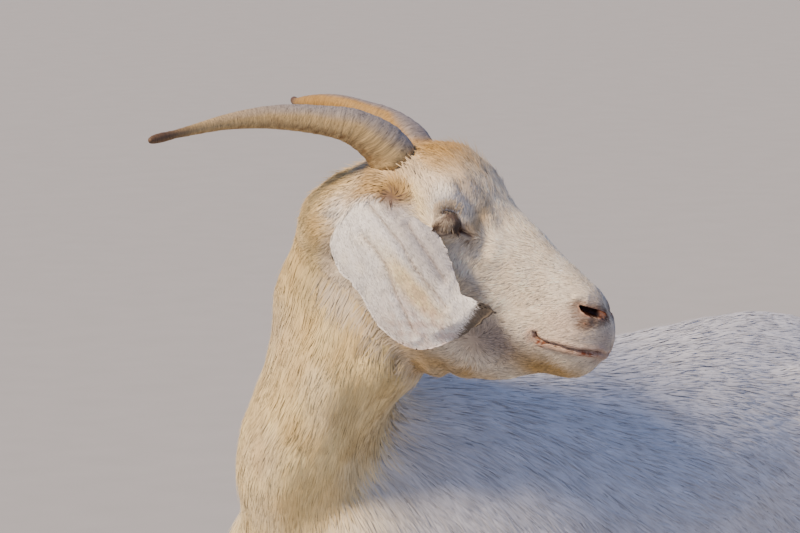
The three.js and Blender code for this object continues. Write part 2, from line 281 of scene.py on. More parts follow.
# ---- Camera ----
CAMERA_AT = Vector((1.9574, 2.8160, 1.2524))
LOOKED_AT = Vector((0.2257, 0.0447, 0.7931))
LENS_ANGLE = math.radians(12.245)  # across the frame
lens = bpy.data.cameras.new("camera")
lens.sensor_fit = "HORIZONTAL"
lens.angle = LENS_ANGLE
camera = bpy.data.objects.new("camera", lens)
camera.location = CAMERA_AT
camera.rotation_euler = (LOOKED_AT - CAMERA_AT).to_track_quat("-Z", "Y").to_euler()
bpy.context.scene.collection.objects.link(camera)
bpy.context.scene.camera = camera


# ---- Colours and node helpers ----
def linear(code):
    """Linear red, green and blue of an sRGB hex code."""
    parts = np.array([int(code[i:i + 2], 16) for i in (0, 2, 4)]) / 255
    return np.where(parts <= 0.04045, parts / 12.92, ((parts + 0.055) / 1.055) ** 2.4)


def rgba(code):
    return (*linear(code), 1.0)


def painted(base, *layers):
    """The base colour under layers of others, each given with its share at every place."""
    for colour, share in layers:
        share = np.clip(share, 0, 1)[:, None]
        base = base * (1 - share) + colour * share
    return base


def fill(tree, node, **links):
    """Fills a node's sockets, named or numbered as i0, from values, outputs or other nodes' first outputs."""
    for key, value in links.items():
        numbered = key[0] == "i" and key[1:].isdigit()
        socket = node.inputs[int(key[1:]) if numbered else key.replace("_", " ")]
        if isinstance(value, bpy.types.Node):
            value = value.outputs[0]
        if isinstance(value, bpy.types.NodeSocket):
            tree.links.new(value, socket)
        else:
            socket.default_value = value


def add_node(tree, kind, settings=None, **links):
    """Adds a node with its settings and links."""
    node = tree.nodes.new("ShaderNode" + kind)
    for key, value in (settings or {}).items():
        setattr(node, key, value)
    fill(tree, node, **links)
    return node


def new_material(name):
    """A material with a shader on its output; its node tree and the shader."""
    material = bpy.data.materials.new(name)
    material.use_nodes = True
    tree = material.node_tree
    tree.nodes.clear()
    shader = add_node(tree, "BsdfPrincipled")
    output = add_node(tree, "OutputMaterial", Surface=shader.outputs["BSDF"])
    output.is_active_output = True
    return material, tree, shader


# ---- Light and floor ----
LAMP_FROM = (0.726, -0.024, 0.686)
LAMP_STRENGTH = 6.1
LAMP_WIDTH = math.radians(13)  # wide enough for soft edges of shade
SKY_STRENGTH = 0.66
FLOOR_RADIUS = 45


def studio():
    """One large warm lamp, high in front of the body, pale blue light from all round, and a pale floor."""
    data = bpy.data.lights.new("key", "SUN")
    data.energy = LAMP_STRENGTH
    data.angle = LAMP_WIDTH
    data.color = linear("ffe3bf")
    lamp = bpy.data.objects.new("key", data)
    lamp.rotation_euler = Vector(LAMP_FROM).to_track_quat("Z", "Y").to_euler()
    bpy.context.scene.collection.objects.link(lamp)
    world = bpy.data.worlds.new("studio")
    bpy.context.scene.world = world
    world.use_nodes = True
    fill(world.node_tree, world.node_tree.nodes["Background"], Color=rgba("a3bbee"), Strength=SKY_STRENGTH)
    made = bmesh.new()
    bmesh.ops.create_circle(made, cap_ends=True, segments=96, radius=FLOOR_RADIUS)
    material, tree, shader = new_material("matt studio floor")
    speckle = add_node(tree, "TexNoise", Scale=900.0, Detail=2.0)
    tone = add_node(tree, "MapRange", Value=speckle, To_Min=0.40, To_Max=0.44)
    fill(tree, shader, Base_Color=tone, Roughness=0.85, Specular_IOR_Level=0.2)
    floor = shown("floor", mesh_from("floor", made), material)


studio()


# ---- Skin: one surface over all the flesh ----
LEGS = [f"leg_{end}_{side}" for end in ("front", "hind") for side in ("left", "right")]
REGIONS = {
    "head": ["head", "eye_left", "eye_right"],
    "ear": ["ear_left", "ear_right"],
    "neck": ["neck"],
    "trunk": ["trunk"],
    "tail": ["tail"],
    "udder": ["udder"],
    "thigh": [f"{leg}_upper" for leg in LEGS],
    "shank": [f"{leg}_lower" for leg in LEGS],
}
FLESH = [node for nodes in REGIONS.values() for node in nodes]
REGION = {name: i for i, name in enumerate(REGIONS)}
# How deep the coat stands over the skin, in millimetres.
COAT_DEPTH = dict(head=2.6, ear=1.0, neck=7.0, trunk=9.0, tail=8.0, udder=1.0, thigh=6.0, shank=2.2)

SKIN_VOXEL = 0.0026
SKIN_SWELL = 1.2  # millimetres that bridge the cuts between the nodes, taken back with the coat's depth
BODY_KEPT = 0.24  # share of the faces kept when the body is thinned out
# How much of the smoothing and of the melting each region gets.
SMOOTHED = dict(ear=0.8, head=0.9, udder=0.8)
MELTED = dict(neck=1.0, trunk=1.0, thigh=0.7, tail=0.2, shank=0.12, head=0.12, udder=0.2)


def region_finder():
    """A search tree over all the CAD flesh, and the region number of each of its faces."""
    corners, faces, owner = [], [], []
    for name, nodes in REGIONS.items():
        for node in nodes:
            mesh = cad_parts[node].data
            start = len(corners)
            corners += [v.co.copy() for v in mesh.vertices]
            faces += [[start + i for i in p.vertices] for p in mesh.polygons]
            owner += [REGION[name]] * len(mesh.polygons)
    return BVHTree.FromPolygons(corners, faces), np.array(owner)


flesh_tree, face_region = region_finder()


def region_shares(mesh, rounds):
    """How much each vertex belongs to each region, blended over the borders."""
    nearest = [flesh_tree.find_nearest(v.co)[2] for v in mesh.vertices]
    shares = np.eye(len(REGIONS))[face_region[nearest]]
    pairs = edges(mesh)
    for _ in range(rounds):
        shares = 0.5 * shares + 0.5 * neighbours_mean(pairs, shares)
    return shares


def of_regions(shares, table, default=0.0):
    """A value of the regions at each vertex, by its shares of them."""
    return shares @ np.array([table.get(name, default) for name in REGIONS])


def thin_body(skin, shares):
    """Fewer faces where the coat hides the skin; the head and ears keep theirs."""
    group = skin.vertex_groups.new(name="body")
    body = 1 - shares[:, REGION["head"]] - shares[:, REGION["ear"]]
    for level in (0.25, 0.5, 0.75, 1.0):
        chosen = np.flatnonzero((body > level - 0.25) & (body <= level + 1e-6))
        group.add(chosen.tolist(), level, "REPLACE")
    thin = skin.modifiers.new("thin", "DECIMATE")
    thin.ratio = BODY_KEPT
    thin.vertex_group = "body"
    thin.vertex_group_factor = 1000
    with_modifiers(skin)
    skin.vertex_groups.clear()


def split_faces(mesh, wanted):
    """Halves every edge between two vertices that are wanted."""
    made = bmesh.new()
    made.from_mesh(mesh)
    made.verts.ensure_lookup_table()
    chosen = [e for e in made.edges if wanted[e.verts[0].index] and wanted[e.verts[1].index]]
    bmesh.ops.subdivide_edges(made, edges=chosen, cuts=1, use_grid_fill=True)
    bmesh.ops.triangulate(made, faces=[f for f in made.faces if len(f.verts) > 4])
    made.to_mesh(mesh)
    made.free()


# Landmarks of the face, folded onto the right side.
EYE = np.array((103.0, -47.0, 22.0))
EYE_RADIUS = 14.0
EYE_REACH = 34.0  # how far from the eye's middle the lids and their folds go
GAZE = unit(np.array((0.42, -0.90, 0.10)))  # the way the eye looks
LID_RUN = np.array((0.91, 0.42, 0.27))  # towards the inner corner
LID_RUN = unit(LID_RUN - GAZE * (LID_RUN @ GAZE))
LID_RISE = np.cross(LID_RUN, GAZE) * np.sign(np.cross(LID_RUN, GAZE)[2])
LID_THICK = 2.0
OPENING = dict(outer=-10.5, inner=10.5, above=3.8, below=1.8)  # half-shut eye, millimetres from its middle
POCKET = 9.0  # depth behind the opening, where the eyeball sits
FAR_OFF = 99  # for places that are nowhere near
# Lines on the side of the face as (x, z); their y is where the skin lies.
SIDE_LINES = {
    "tear": [(112, 26), (116, 25.5), (120, 25), (125.5, 24.3), (131, 23.5)],
    "nostril": [(236.0, 7.4), (239.6, 6.6), (243.2, 6.3), (247.4, 6.7), (252.3, 6.8), (256.5, 6.0),
                (260.1, 4.9)],
    "wing": [(229, 12), (236, 16), (247, 16.5), (256, 14.5), (264, 9)],
    "mouth": [(210.6, -29.6), (213.1, -32.3), (218.9, -33.8), (225.5, -32.8), (233, -31.1), (242.7, -29.4),
              (255, -26.2), (264.6, -23.5)],
    "jaw crease": [(80, -114), (105, -119), (125, -115), (140, -109)],
    "cheek ridge": [(84, -4), (118, -8), (145, -14), (168, -22)],
    "brow hollow": [(100, 60), (113, 51), (124, 42), (134, 31), (140, 17)],
}
LINE_ENDS = {"mouth": (268, 0, -26), "jaw crease": (150, 0, -108)}  # where two of them meet the middle plane
PHILTRUM = [(262, 0, 10), (269, 0, 0), (271, 0, -12), (268, 0, -25)]  # down the middle plane to the lips
NOSTRIL_HALF = [1.4, 3.2, 3.8, 4.3, 4.5, 3.6, 1.2]  # half width of the opening along its line
EAR_CLEAR = -68  # a place between cheek and ear, across the head
RAISED = [  # line, height, width, share of the line over which the swelling grows
    ("cheek ridge", 2.4, 8, 0),
    ("upper lip", 1.0, 3.0, 0.25),
    ("lower lip", 1.3, 3.2, 0.25),
    ("wing", 1.7, 3.4, 0),
]
PRESSED = [  # line, depth, width
    ("jaw crease", 5.0, 6.0),
    ("brow hollow", 3.4, 5.5),
    ("tear", 1.8, 1.7),
    ("philtrum", 2.0, 2.4),
    ("mouth", 3.4, 1.7),
]
HEAD_SWELLINGS = [  # centre, reach along each axis, height
    ((104, -50, 41), (20, 15, 11), 4.8),  # brow
    ((133, -42, 12), (12, 12, 13), -3.0),  # hollow in front of the eye
    ((78, -58, 26), (14, 12, 14), -1.5),  # temple
    ((100, -50, -58), (30, 20, 26), 3.0),  # chewing muscle
    ((166, -38, -50), (18, 16, 16), -3.0),  # hollow of the cheek
    ((214, -32, -16), (16, 12, 12), 2.0),  # upper lip behind the nostril
    ((240, -26, -14), (16, 12, 10), 1.6),  # upper lip below it
    ((252, -14, -48), (14, 14, 9), 1.5),  # chin
    ((170, 0, -104), (60, 34, 16), 3.0),  # lower edge of the jaw
]


def laid(tree, line):
    """Points (x, z) of the head's right side, with y found on the skin under the ear."""
    across = Vector(HEAD_AXES[1])
    starts = [Vector(from_head((x, EAR_CLEAR, z))) for x, z in line]
    hits = [tree.ray_cast(start, across)[0] or tree.find_nearest(start)[0] for start in starts]
    return [tuple(to_head(np.array(hit))) for hit in hits]


def face_lines(mesh):
    """The lines of the face laid on the skin, and those beside the mouth."""
    tree = tree_of(mesh)
    lines = {name: laid(tree, line) for name, line in SIDE_LINES.items()}
    for name, end in LINE_ENDS.items():
        lines[name].append(end)
    lines["upper lip"] = [(x, y, z + 4) for x, y, z in lines["mouth"]]
    lines["lower lip"] = [(x - 1, y, z - 3.4) for x, y, z in lines["mouth"]]
    lines["philtrum"] = PHILTRUM
    return lines


def near_eye(at):
    """How far folded places are from the eye's middle, how squarely in front of it, and which are close."""
    off = at - EYE
    far = np.linalg.norm(off, axis=1)
    facing = (off @ GAZE) / np.maximum(far, 1e-6)
    return far, facing, (far < EYE_REACH) & (facing > 0.05)


def eye_view(at):
    """Folded places as seen from in front of the eye: along the lids towards the muzzle, and up."""
    off = at - EYE
    return off @ LID_RUN, off @ LID_RISE


def lid_edges(along):
    """Height of the upper and lower lid's edge at a place along the eye's opening."""
    middle = (OPENING["outer"] + OPENING["inner"]) / 2
    half = (OPENING["inner"] - OPENING["outer"]) / 2
    bow = np.clip(1 - ((along - middle) / half) ** 2, 0, 1) ** 0.8
    slope = -0.06 * along  # the inner corner hangs lower
    return slope + OPENING["above"] * bow, slope - OPENING["below"] * bow


def lid_fold(along):
    """Height of the crease between the upper lid and the brow."""
    return 15.2 - 0.05 * (along - 1.0) ** 2


def haired_lid(along, rise):
    """Share of the coat's own pale hair on the outer, upper part of the lid."""
    return soft(rise - along, 12.5, 18.0) * soft(rise, 3.0, 6.0)


def inside_opening(along, rise):
    """How far inside the lids' edges a place is, in millimetres; below 0 outside."""
    top, bottom = lid_edges(along)
    return np.minimum(top - rise, rise - bottom)


def nostril_gap(at, line):
    """How far outside the nostril's edge a place is, and how far along it from the back."""
    gap, share = from_line(at, line)
    return gap - np.interp(share, shares_of(line), NOSTRIL_HALF), share


def refine_face(mesh, lines):
    """Smaller faces round the eyes, nostrils and mouth, in two steps."""
    for reach in (1.0, 0.55):
        at = folded(to_head(places(mesh)))
        eye = np.linalg.norm((at - EYE - 10 * GAZE) / (26, 24, 20), axis=1) < reach
        nose = from_line(at, lines["nostril"])[0] < 13 * reach
        mouth = from_line(at, lines["mouth"])[0] < 10 * reach
        split_faces(mesh, (eye | nose | mouth) & (at[:, 0] > -40))


def swell(at, out, swellings):
    """Raises the surface round each centre, or hollows it where the height is below 0."""
    for centre, reach, height in swellings:
        at = at + out * (height * mound(at, centre, reach))[:, None]
    return at


def raise_along(at, out, line, height, width, taper):
    """Swells places beside a line; the swelling may grow slowly from the line's first point."""
    gap, share = from_line(at, line)
    grown = soft(share, 0.0, taper) if taper else 1.0
    return at + out * (height * grown * bell(gap, width))[:, None]


def press(at, out, line, depth, width):
    """Moves places in along a line by depth, with a slight swelling beside it."""
    gap = from_line(at, line)[0] / width
    return at - out * (depth * (bell(gap, 1.0) - 0.22 * bell(gap - 2.0, 1.0)))[:, None]


def shape_head(mesh, shares, lines):
    """Brow, lids, nostrils, lips and creases. Returns where each vertex was before the openings sank."""
    whole = to_head(places(mesh))
    sign = fold_sign(whole)
    at = folded(whole)
    out = normals(mesh) @ HEAD_AXES.T
    out[:, 1] *= sign
    amount = soft(shares[:, REGION["head"]] + 0.6 * shares[:, REGION["neck"]], 0.2, 0.6)[:, None]
    start = at.copy()
    at = swell(at, out, HEAD_SWELLINGS)
    for name, height, width, taper in RAISED:
        at = raise_along(at, out, lines[name], height, width, taper)
    at = cover_eye(at)
    rest = at.copy()
    for name, depth, width in PRESSED:
        at = press(at, out, lines[name], depth, width)
    at = open_lids(at)
    at = open_nostril(at, out, lines["nostril"])
    at = start + (at - start) * amount
    at[:, 1] *= sign
    put_places(mesh, from_head(at))
    return rest


def cover_eye(at):
    """The skin drawn over the eyeball."""
    far, facing, near = near_eye(at)
    off = at - EYE
    lid = EYE_RADIUS + LID_THICK + 0.6 * soft(off @ LID_RISE, 0, 6)
    cover = soft(facing, 0.20, 0.62) * near
    return EYE + off * (1 + cover * (lid / np.maximum(far, 1e-6) - 1))[:, None]


def open_lids(at):
    """Folds above and below the lids, their edges on the opening, and a pocket for the eyeball behind."""
    near = near_eye(at)[2]
    along, rise = eye_view(at)
    folds = 1.3 * bell(rise - lid_fold(along), 1.7) + 1.0 * bell(rise + 9.0 - 0.03 * along**2, 1.5)
    at = at - GAZE * (folds * soft(np.abs(along), 15, 9) * near)[:, None]
    # Places next to the lids' edges are laid exactly on them, so that the edges run clean.
    between = near & (along > OPENING["outer"]) & (along < OPENING["inner"])
    for edge in lid_edges(along):
        close = between & (np.abs(rise - edge) < 0.62)
        at = at + LID_RISE * ((edge - rise) * close)[:, None]
        rise = np.where(close, edge, rise)
    deep = inside_opening(along, rise)
    return at - GAZE * (POCKET * soft(deep, 0.0, 0.6) * (between & (deep > 0.05)))[:, None]


def open_nostril(at, out, line):
    """A comma-shaped opening: places inside its edge sink, those beside it are laid on the edge."""
    gap, share = nostril_gap(at, line)
    off = along_skin(at - on_line(share, line), out)
    at = at - unit(off) * (gap * (np.abs(gap) < 0.6))[:, None]
    inward = unit(np.array((-0.55, 0.8, -0.1)))
    depth = (9.0 - 7.0 * soft(share, 0.28, 0.46)) * soft(-gap, 0.2, 1.3) * (gap < -0.4)
    return at + inward * depth[:, None]


def ear_frame(side):
    """The ear's middle and its axes: from root to tip, across towards the muzzle, and outwards."""
    found = places(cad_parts[f"ear_{side}"].data)
    middle = found.mean(0)
    axes = np.linalg.svd(found - middle, full_matrices=False)[2]
    tip_ward = axes[0] * np.sign((middle - HEAD_ORIGIN) @ axes[0])
    outward = axes[2] * np.sign((middle - HEAD_ORIGIN - HEAD_AXES[0] * 0.08) @ axes[2])
    across = np.cross(outward, tip_ward)
    return middle, np.array([tip_ward, across * np.sign(across @ HEAD_AXES[0]), outward])


EARS = {side: ear_frame(side) for side in FLIPS}
# Millimetres from the ear's middle towards its tip, and how far the two edges are let out there.
EAR_RUN = [-60, -45, -30, -15, 0, 15, 30, 45, 60, 70, 78, 90]
EAR_FRONT = [0, 0, -1, 5, 13, 13, 8, -1, -7, -2, 5, 6]
EAR_REAR = [34, 21, 12, 5, 2, 3, 3, 1, -1, -3, -4, -5]
EAR_CREASES = [  # millimetres towards the tip and towards the muzzle
    [(-58, 8), (-31, 12), (-7, 14), (19, 11.5), (33, 12), (59, 13.5)],
    [(-40, -12), (-28, -9), (-15, -7), (2, -8), (20, -14.5), (40, -20), (58, -26)],
    [(-20, 27), (10, 27), (40, 25)],
]


def ear_view(points):
    """Places in the frame of the ear on their side of the head, in millimetres."""
    return by_side(points, *((points - middle) @ axes.T / MM for middle, axes in EARS.values()))


def ear_crease(view):
    """Distance from the nearest crease of an ear."""
    return np.minimum.reduce([from_line(view[:, :2], line)[0] for line in EAR_CREASES])


def shape_ears(mesh, shares):
    """Draws the ears' edges out, raises the ridges and turns the lower rim in."""
    points = places(mesh)
    run, across, _ = ear_view(points).T
    mine = soft(shares[:, REGION["ear"]], 0.05, 0.75)
    front = np.interp(run, EAR_RUN, EAR_FRONT) * np.clip(across / 33, 0, 1.15) ** 1.5
    rear = np.interp(run, EAR_RUN, EAR_REAR) * np.clip(-across / 40, 0, 1.15) ** 1.5
    longer = 7.0 * soft(run, 58, 84) * soft(across, -12, 22) - 6.0 * soft(run, 58, 90) * soft(across, 15, -20)
    curl = -0.9 * np.maximum(run - 72, 0) * soft(across, -25, 5)
    moved = np.stack([longer, front - rear, curl], 1) * MM * mine[:, None]
    outward = by_side(points, *(axes[2] for _, axes in EARS.values()))
    points += by_side(points, *(moved @ axes for _, axes in EARS.values()))
    put_places(mesh, points)
    out = normals(mesh)
    outer = soft((out * outward).sum(1), 0.1, 0.5) * mine
    gap = ear_crease(ear_view(places(mesh)))
    relief = 1.3 * bell(gap - 6.5, 3.2) - 1.5 * bell(gap, 2.0)
    put_places(mesh, points + out * (relief * outer * MM)[:, None])


MANE_LINE = [(0.300, 0.012, 0.817), (0.294, -0.022, 0.774)]  # the thick part of the mane behind the ears
MANE_WIDTH = 0.029
MANE_HEIGHT = 17.0 * MM
FOLD_PACE = math.tau / 0.062 * unit(np.array((-0.80, 0.45, 0.28)))  # across the folds of the turned neck
FOLD_HEIGHT = 2.0 * MM
MUSCLE_HEIGHT = 2.5 * MM
BODY_SWELLINGS = [  # centre, reach along each axis, height
    ((0.322, -0.075, 0.575), (0.05, 0.07, 0.06), 9.0 * MM),  # where the neck meets the chest
    ((0.225, 0.046, 0.700), (0.05, 0.06, 0.020), 12.0 * MM),  # throat
]


def shape_body(mesh, shares):
    """Folds of the twisted neck, and shallow unevenness of muscle and ribs."""
    points = places(mesh)
    out = normals(mesh)
    trunk = shares[:, REGION["trunk"]] + shares[:, REGION["thigh"]]
    off_ear = 1 - shares[:, REGION["ear"]]
    folds = np.sin(points @ FOLD_PACE + 1.2 * ripple(points, 0.12, 3))
    points += out * (shares[:, REGION["neck"]] * FOLD_HEIGHT * folds)[:, None]
    points += out * (trunk * MUSCLE_HEIGHT * ripple(points, 0.09, 4))[:, None]
    points = swell(points, out, BODY_SWELLINGS)
    mane = bell(from_line(points, MANE_LINE)[0], MANE_WIDTH) * off_ear * soft(to_head(points)[:, 0], 30, 0)
    points += out * (MANE_HEIGHT * mane)[:, None]
    put_places(mesh, points)
    relax(mesh, 60 * MELTING, mound(points, (0.31, -0.055, 0.555), (0.09, 0.13, 0.05)))
    relax(mesh, 45 * MELTING, mound(points, (0.290, 0.006, 0.815), (0.055, 0.07, 0.045)) * off_ear)


def make_skin():
    skin = remeshed("skin", FLESH, SKIN_VOXEL, SKIN_SWELL * MM)
    shares = region_shares(skin.data, 8)
    relax(skin.data, 28 * SMOOTHING, of_regions(shares, SMOOTHED, 1.0))
    thin_body(skin, shares)
    shares = region_shares(skin.data, 8)
    relax(skin.data, 26 * MELTING, of_regions(shares, MELTED))
    inset = of_regions(shares, COAT_DEPTH) + SKIN_SWELL
    put_places(skin.data, places(skin.data) - normals(skin.data) * (inset * MM)[:, None])
    lines = face_lines(skin.data)
    refine_face(skin.data, lines)
    shares = region_shares(skin.data, 10)
    shape_body(skin.data, shares)
    shape_ears(skin.data, shares)
    rest = shape_head(skin.data, shares, lines)
    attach(skin, BODY)
    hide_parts(*[node for node in FLESH if not node.startswith("eye")])
    return skin, shares, rest, lines


skin, skin_shares, face_rest, face = make_skin()

# ---- Markings and painted shade: one function for skin and coat ----
# The white coat's blue tint is painted cool light of the sky.
WHITE = linear("d2d5de")
CREAM = linear("f5dea4")
TAN = linear("ba954e")
AMBER = linear("b38a3e")
PALE = linear("f7ecd8")
SILVER = linear("f4f3f2")
GREY_BROWN = linear("7d6656")
# Grey-violet painted shade, laid where the face and ears lie in shade.
PAINTED_SHADE = linear("8b8084")
LID = linear("5a4032")
ROSE = linear("c49a88")
PINK = linear("d8a68c")
LIP = linear("8c4a2a")
DARK = linear("33190f")
FLESHY = linear("e89a68")
STAIN = linear("b99a78")
LASH = linear("dccbb2")
# Darker hair and painted shade on the ear's turned-in flap.
FLAP_HAIR_AND_SHADE = linear("6a6156")
SHADES_ON_HEAD = [  # colour, folded head place, reach along each axis, share
    (AMBER, (66, -6, 78), (48, 44, 26), 1.10),  # forehead and poll
    (TAN, (6, -30, 26), (50, 44, 44), 1.15),  # behind the horns
    (TAN, (52, -56, 26), (20, 16, 16), 1.15),  # whorl above the ear
    (CREAM, (76, -56, 28), (15, 14, 15), 0.80),  # between the whorl and the brow
    (TAN, (-10, -32, -24), (42, 44, 38), 1.10),  # nape behind the ear
    (TAN, (80, -36, 64), (20, 16, 18), 0.50),  # side of the forehead
    (TAN, (128, -36, 34), (10, 12, 20), 0.60),  # in front of the brow
    (PAINTED_SHADE, (120, -44, -34), (11, 14, 30), 0.45),  # painted shadow of the ear on the cheek beside it
    (TAN, (238, -14, -60), (36, 26, 15), 1.10),  # chin
    (TAN, (205, -28, -56), (28, 20, 12), 0.55),  # behind the mouth
    (ROSE, (236, -24, -14), (26, 16, 16), 0.42),  # upper lip
    (PAINTED_SHADE, (242, -26, 1), (14, 10, 10), 0.75),  # painted shade round the nostril
    (PAINTED_SHADE, (246, -14, 17), (12, 14, 8), 0.50),  # painted shade over the nostril
    (PAINTED_SHADE, (267, -10, -12), (9, 14, 16), 0.60),  # painted shade on the front of the muzzle
    (PAINTED_SHADE, (268, -8, -34), (8, 12, 9), 0.50),  # painted shade on the front of the chin
    (PAINTED_SHADE, (178, -32, -56), (34, 16, 22), 0.72),  # hollow behind the mouth: grey speckled hair and painted shadow of the ear
    (WHITE, (100, -53, 40), (17, 16, 12), 0.75),  # brow
    (PAINTED_SHADE, (112, -40, 56), (7, 12, 14), 0.35),  # painted shade along the inner edge of the brow
]


def muzzle_shades(at, head):
    """Rose and speckled grey-brown round the lips and the nostril."""
    mouth = from_line(at, face["mouth"])[0]
    specks = 0.5 + 0.5 * ripple(at, 2.2, 16)
    rim = soft(nostril_gap(at, face["nostril"])[0], 9, 0.5)
    return [
        (ROSE, head * 0.55 * soft(mouth, 9, 2)),
        (GREY_BROWN, head * specks * 0.8 * soft(mouth, 6, 1)),
        (GREY_BROWN, head * np.clip(0.85 * rim * (1 + 0.4 * specks), 0, 0.9)),
    ]


def eye_shades(at, head):
    """Darker hair round the lids, along the tear line and at the inner corner."""
    along, rise = eye_view(at)
    near = near_eye(at)[2]
    lid = np.hypot(np.maximum(np.abs(along) - 9, 0), np.maximum(np.abs(rise) - 4, 0))
    return [
        (GREY_BROWN, head * 0.6 * soft(np.where(near, lid, FAR_OFF), 5, 0)),
        (GREY_BROWN, head * 0.6 * soft(from_line(at, face["tear"])[0], 7, 1)),
        (LID, head * 0.8 * near * bell(along - 14, 5) * bell(rise + 0.5, 3.5)),
    ]


def ear_shades(points, at, head, ear):
    """Silver ears, cream between the creases, rosy towards the rear, and the whorl in front of them, with
    painted shade in places.
    """
    view = ear_view(points)
    run, across, outwards = view.T
    between = mound(view[:, :2], (18, -1), (34, 9)) + 0.5 * mound(view[:, :2], (44, 2), (26, 10))
    cream = np.clip(0.8 * between + 0.02 + 0.10 * ripple(points, 0.012, 14), 0, 0.8)
    blush = soft(run, 0, 60) * soft(across, 18, -6) * (0.30 + 0.25 * ripple(points, 0.005, 15))
    past_rim = run - 76.2 - (31.8 - across) * 0.151
    return [
        (SILVER, ear),
        (SILVER, 0.7 * mound(view, (-74, -15, 0), (14, 12, 30)) * (1 - ear)),
        (CREAM, ear * soft(outwards, -8, 4) * cream),
        (ROSE, ear * np.clip(blush, 0, 0.5)),
        # Painted shade along the creases.
        (GREY_BROWN, ear * 0.6 * bell(ear_crease(view), 1.3)),
        (TAN, (head + ear) * mound(at, (50, -56, 27), (15, 16, 9.5))),
        # Painted shade in the whorl's middle, where the hair parts.
        (LID, (head + ear) * 0.9 * mound(at, (50, -55, 25.5), (7, 12, 6))),
        # The flap past the rim: partly its darker inner hair, partly painted shade where it turns in from the
        # lamp.
        (FLAP_HAIR_AND_SHADE, ear * soft(past_rim, -0.5, 2.0) * soft(across, -20, 0)),
        # Painted shade on the ear's front part, turned away from the lamp.
        (PAINTED_SHADE, 0.45 * ear * soft(across, 7, 24) * soft(run, 70, 30)),
    ]


def markings_and_shade(points, shares):
    """The coat's colour: white body, cream neck, tan poll and jaw, silver ears, pale face, and painted shade in
    places on the head and ears.
    """
    at = folded(to_head(points))
    height = points[:, 2]
    head, ear, neck = (shares[:, REGION[name]] for name in ("head", "ear", "neck"))
    behind = head * soft(at[:, 0], 34, 4)
    head, neck = head - behind, neck + behind
    body = 1 - head - ear - neck
    cream = neck + body * mound(points, (0.31, -0.06, 0.55), (0.08, 0.14, 0.10)) * 1.2
    high = 0.14 * soft(height, 0.66, 0.80) + 0.20 * soft(height, 0.815, 0.865)
    jaw = 0.65 * soft(at[:, 2], -74, -98) * soft(at[:, 0], -20, 30)
    spots = [(colour, head * np.clip(share * mound(at, place, reach), 0, 0.9))
             for colour, place, reach, share in SHADES_ON_HEAD]
    return painted(
        WHITE,
        (CREAM, cream * (0.95 + 0.12 * ripple(points, 0.03, 11))),
        (TAN, neck * (0.20 + 0.15 * ripple(points, 0.018, 12) + high)),
        (PALE, head),
        (TAN, head * np.clip(jaw + 0.08 + 0.10 * ripple(points, 0.013, 13), 0, 0.85)),
        *spots,
        *muzzle_shades(at, head),
        *eye_shades(at, head),
        *ear_shades(points, at, head, ear),
        (STAIN, 0.6 * mound(points, (-0.345, 0.13, 0.56), (0.014, 0.2, 0.10)) * body),
    )


def bare_eye(at):
    """Shares of bare lid, and of the dark rim, tear line, corner and folds, round the eye; the dark in the fold
    above the lid is painted shade.
    """
    along, rise = eye_view(at)
    close = near_eye(at)[2]
    past = np.maximum(np.maximum(OPENING["outer"] - along, along - OPENING["inner"]), 0)
    edge = np.where(close, np.maximum(-inside_opening(along, rise), past), FAR_OFF)
    gap, share = from_line(at, face["tear"])
    tear = soft(gap, 3.4 - 1.6 * share, 1.4 - 0.8 * share)
    corner = close * bell(along - 11, 3.0) * bell(rise - 3, 5.5)
    under = close * bell(rise + 4.6 - 0.42 * along, 1.1) * soft(np.abs(along), 10, 7)
    crease = rise - lid_fold(along)
    bald = close * (1 - haired_lid(along, rise))
    lid = bald * soft(rise, 0, 2) * soft(crease, 0.5, -2.0) * soft(np.abs(along), 12.5, 9)
    # Painted shade in the crease between the upper lid and the brow.
    fold = bald * bell(crease + 1.2, 1.6) * soft(np.abs(along - 1), 11, 6)
    darks = [soft(edge, 2.6, 0.8), tear, np.clip(1.4 * corner, 0, 1), 0.7 * under, 0.85 * fold]
    return lid, np.maximum.reduce(darks)


def bare_skin(at, shares):
    """Colour and share of the skin that shows bare, from where it lay before the openings sank."""
    lid, dark = bare_eye(at)
    gap, share = nostril_gap(at, face["nostril"])
    low = soft((at - on_line(share, face["nostril"]))[:, 2], 0.2, -1.6)
    ends = np.maximum(soft(share, 0.44, 0.34), soft(share, 0.90, 0.97))
    mouth, along_mouth = from_line(at, face["mouth"])
    slit = soft(mouth, 1.2, 0.5)
    below = soft(from_line(at, face["lower lip"])[0], 3.6, 2.2)
    below = below * (bell(along_mouth - 0.14, 0.09) + bell(along_mouth - 0.68, 0.19))
    lips = np.maximum(slit, below * (0.7 + 0.4 * ripple(at, 1.6, 51)))
    along, rise = eye_view(at)
    colour = painted(
        PINK,
        (LID, soft(np.hypot(along, rise - 4), 26, 18)),
        (LIP, soft(mouth, 9, 6)),
        (DARK, 0.75 * below * soft(ripple(at, 1.3, 52), 0.3, 1.0)),
        (LID, np.maximum(lid, soft(gap, 1.2, 0.2))),
        (FLESHY, soft(gap, -0.5, -1.3) * soft(share, 0.30, 0.45)),
        # Painted shade deep in the nostril, at its ends and along its lower side.
        (DARK, soft(gap, 0.2, -0.8) * np.maximum(ends, 0.9 * low)),
        # Dark rims, tear line and corner of the eye, painted shade in the fold above the lid, and painted shade
        # in the slit of the mouth.
        (DARK, np.maximum(dark, 0.9 * slit)),
    )
    bare = np.maximum.reduce([dark, 0.9 * lid, soft(gap, 1.6, 0.4), lips])
    bare = bare * soft(shares[:, REGION["head"]], 0.3, 0.7)
    return colour, np.maximum(bare, 0.9 * shares[:, REGION["udder"]])


HAIR_STREAKS = (0.1, 0.7, 0.7)  # to the millimetre, along the head, across it and up


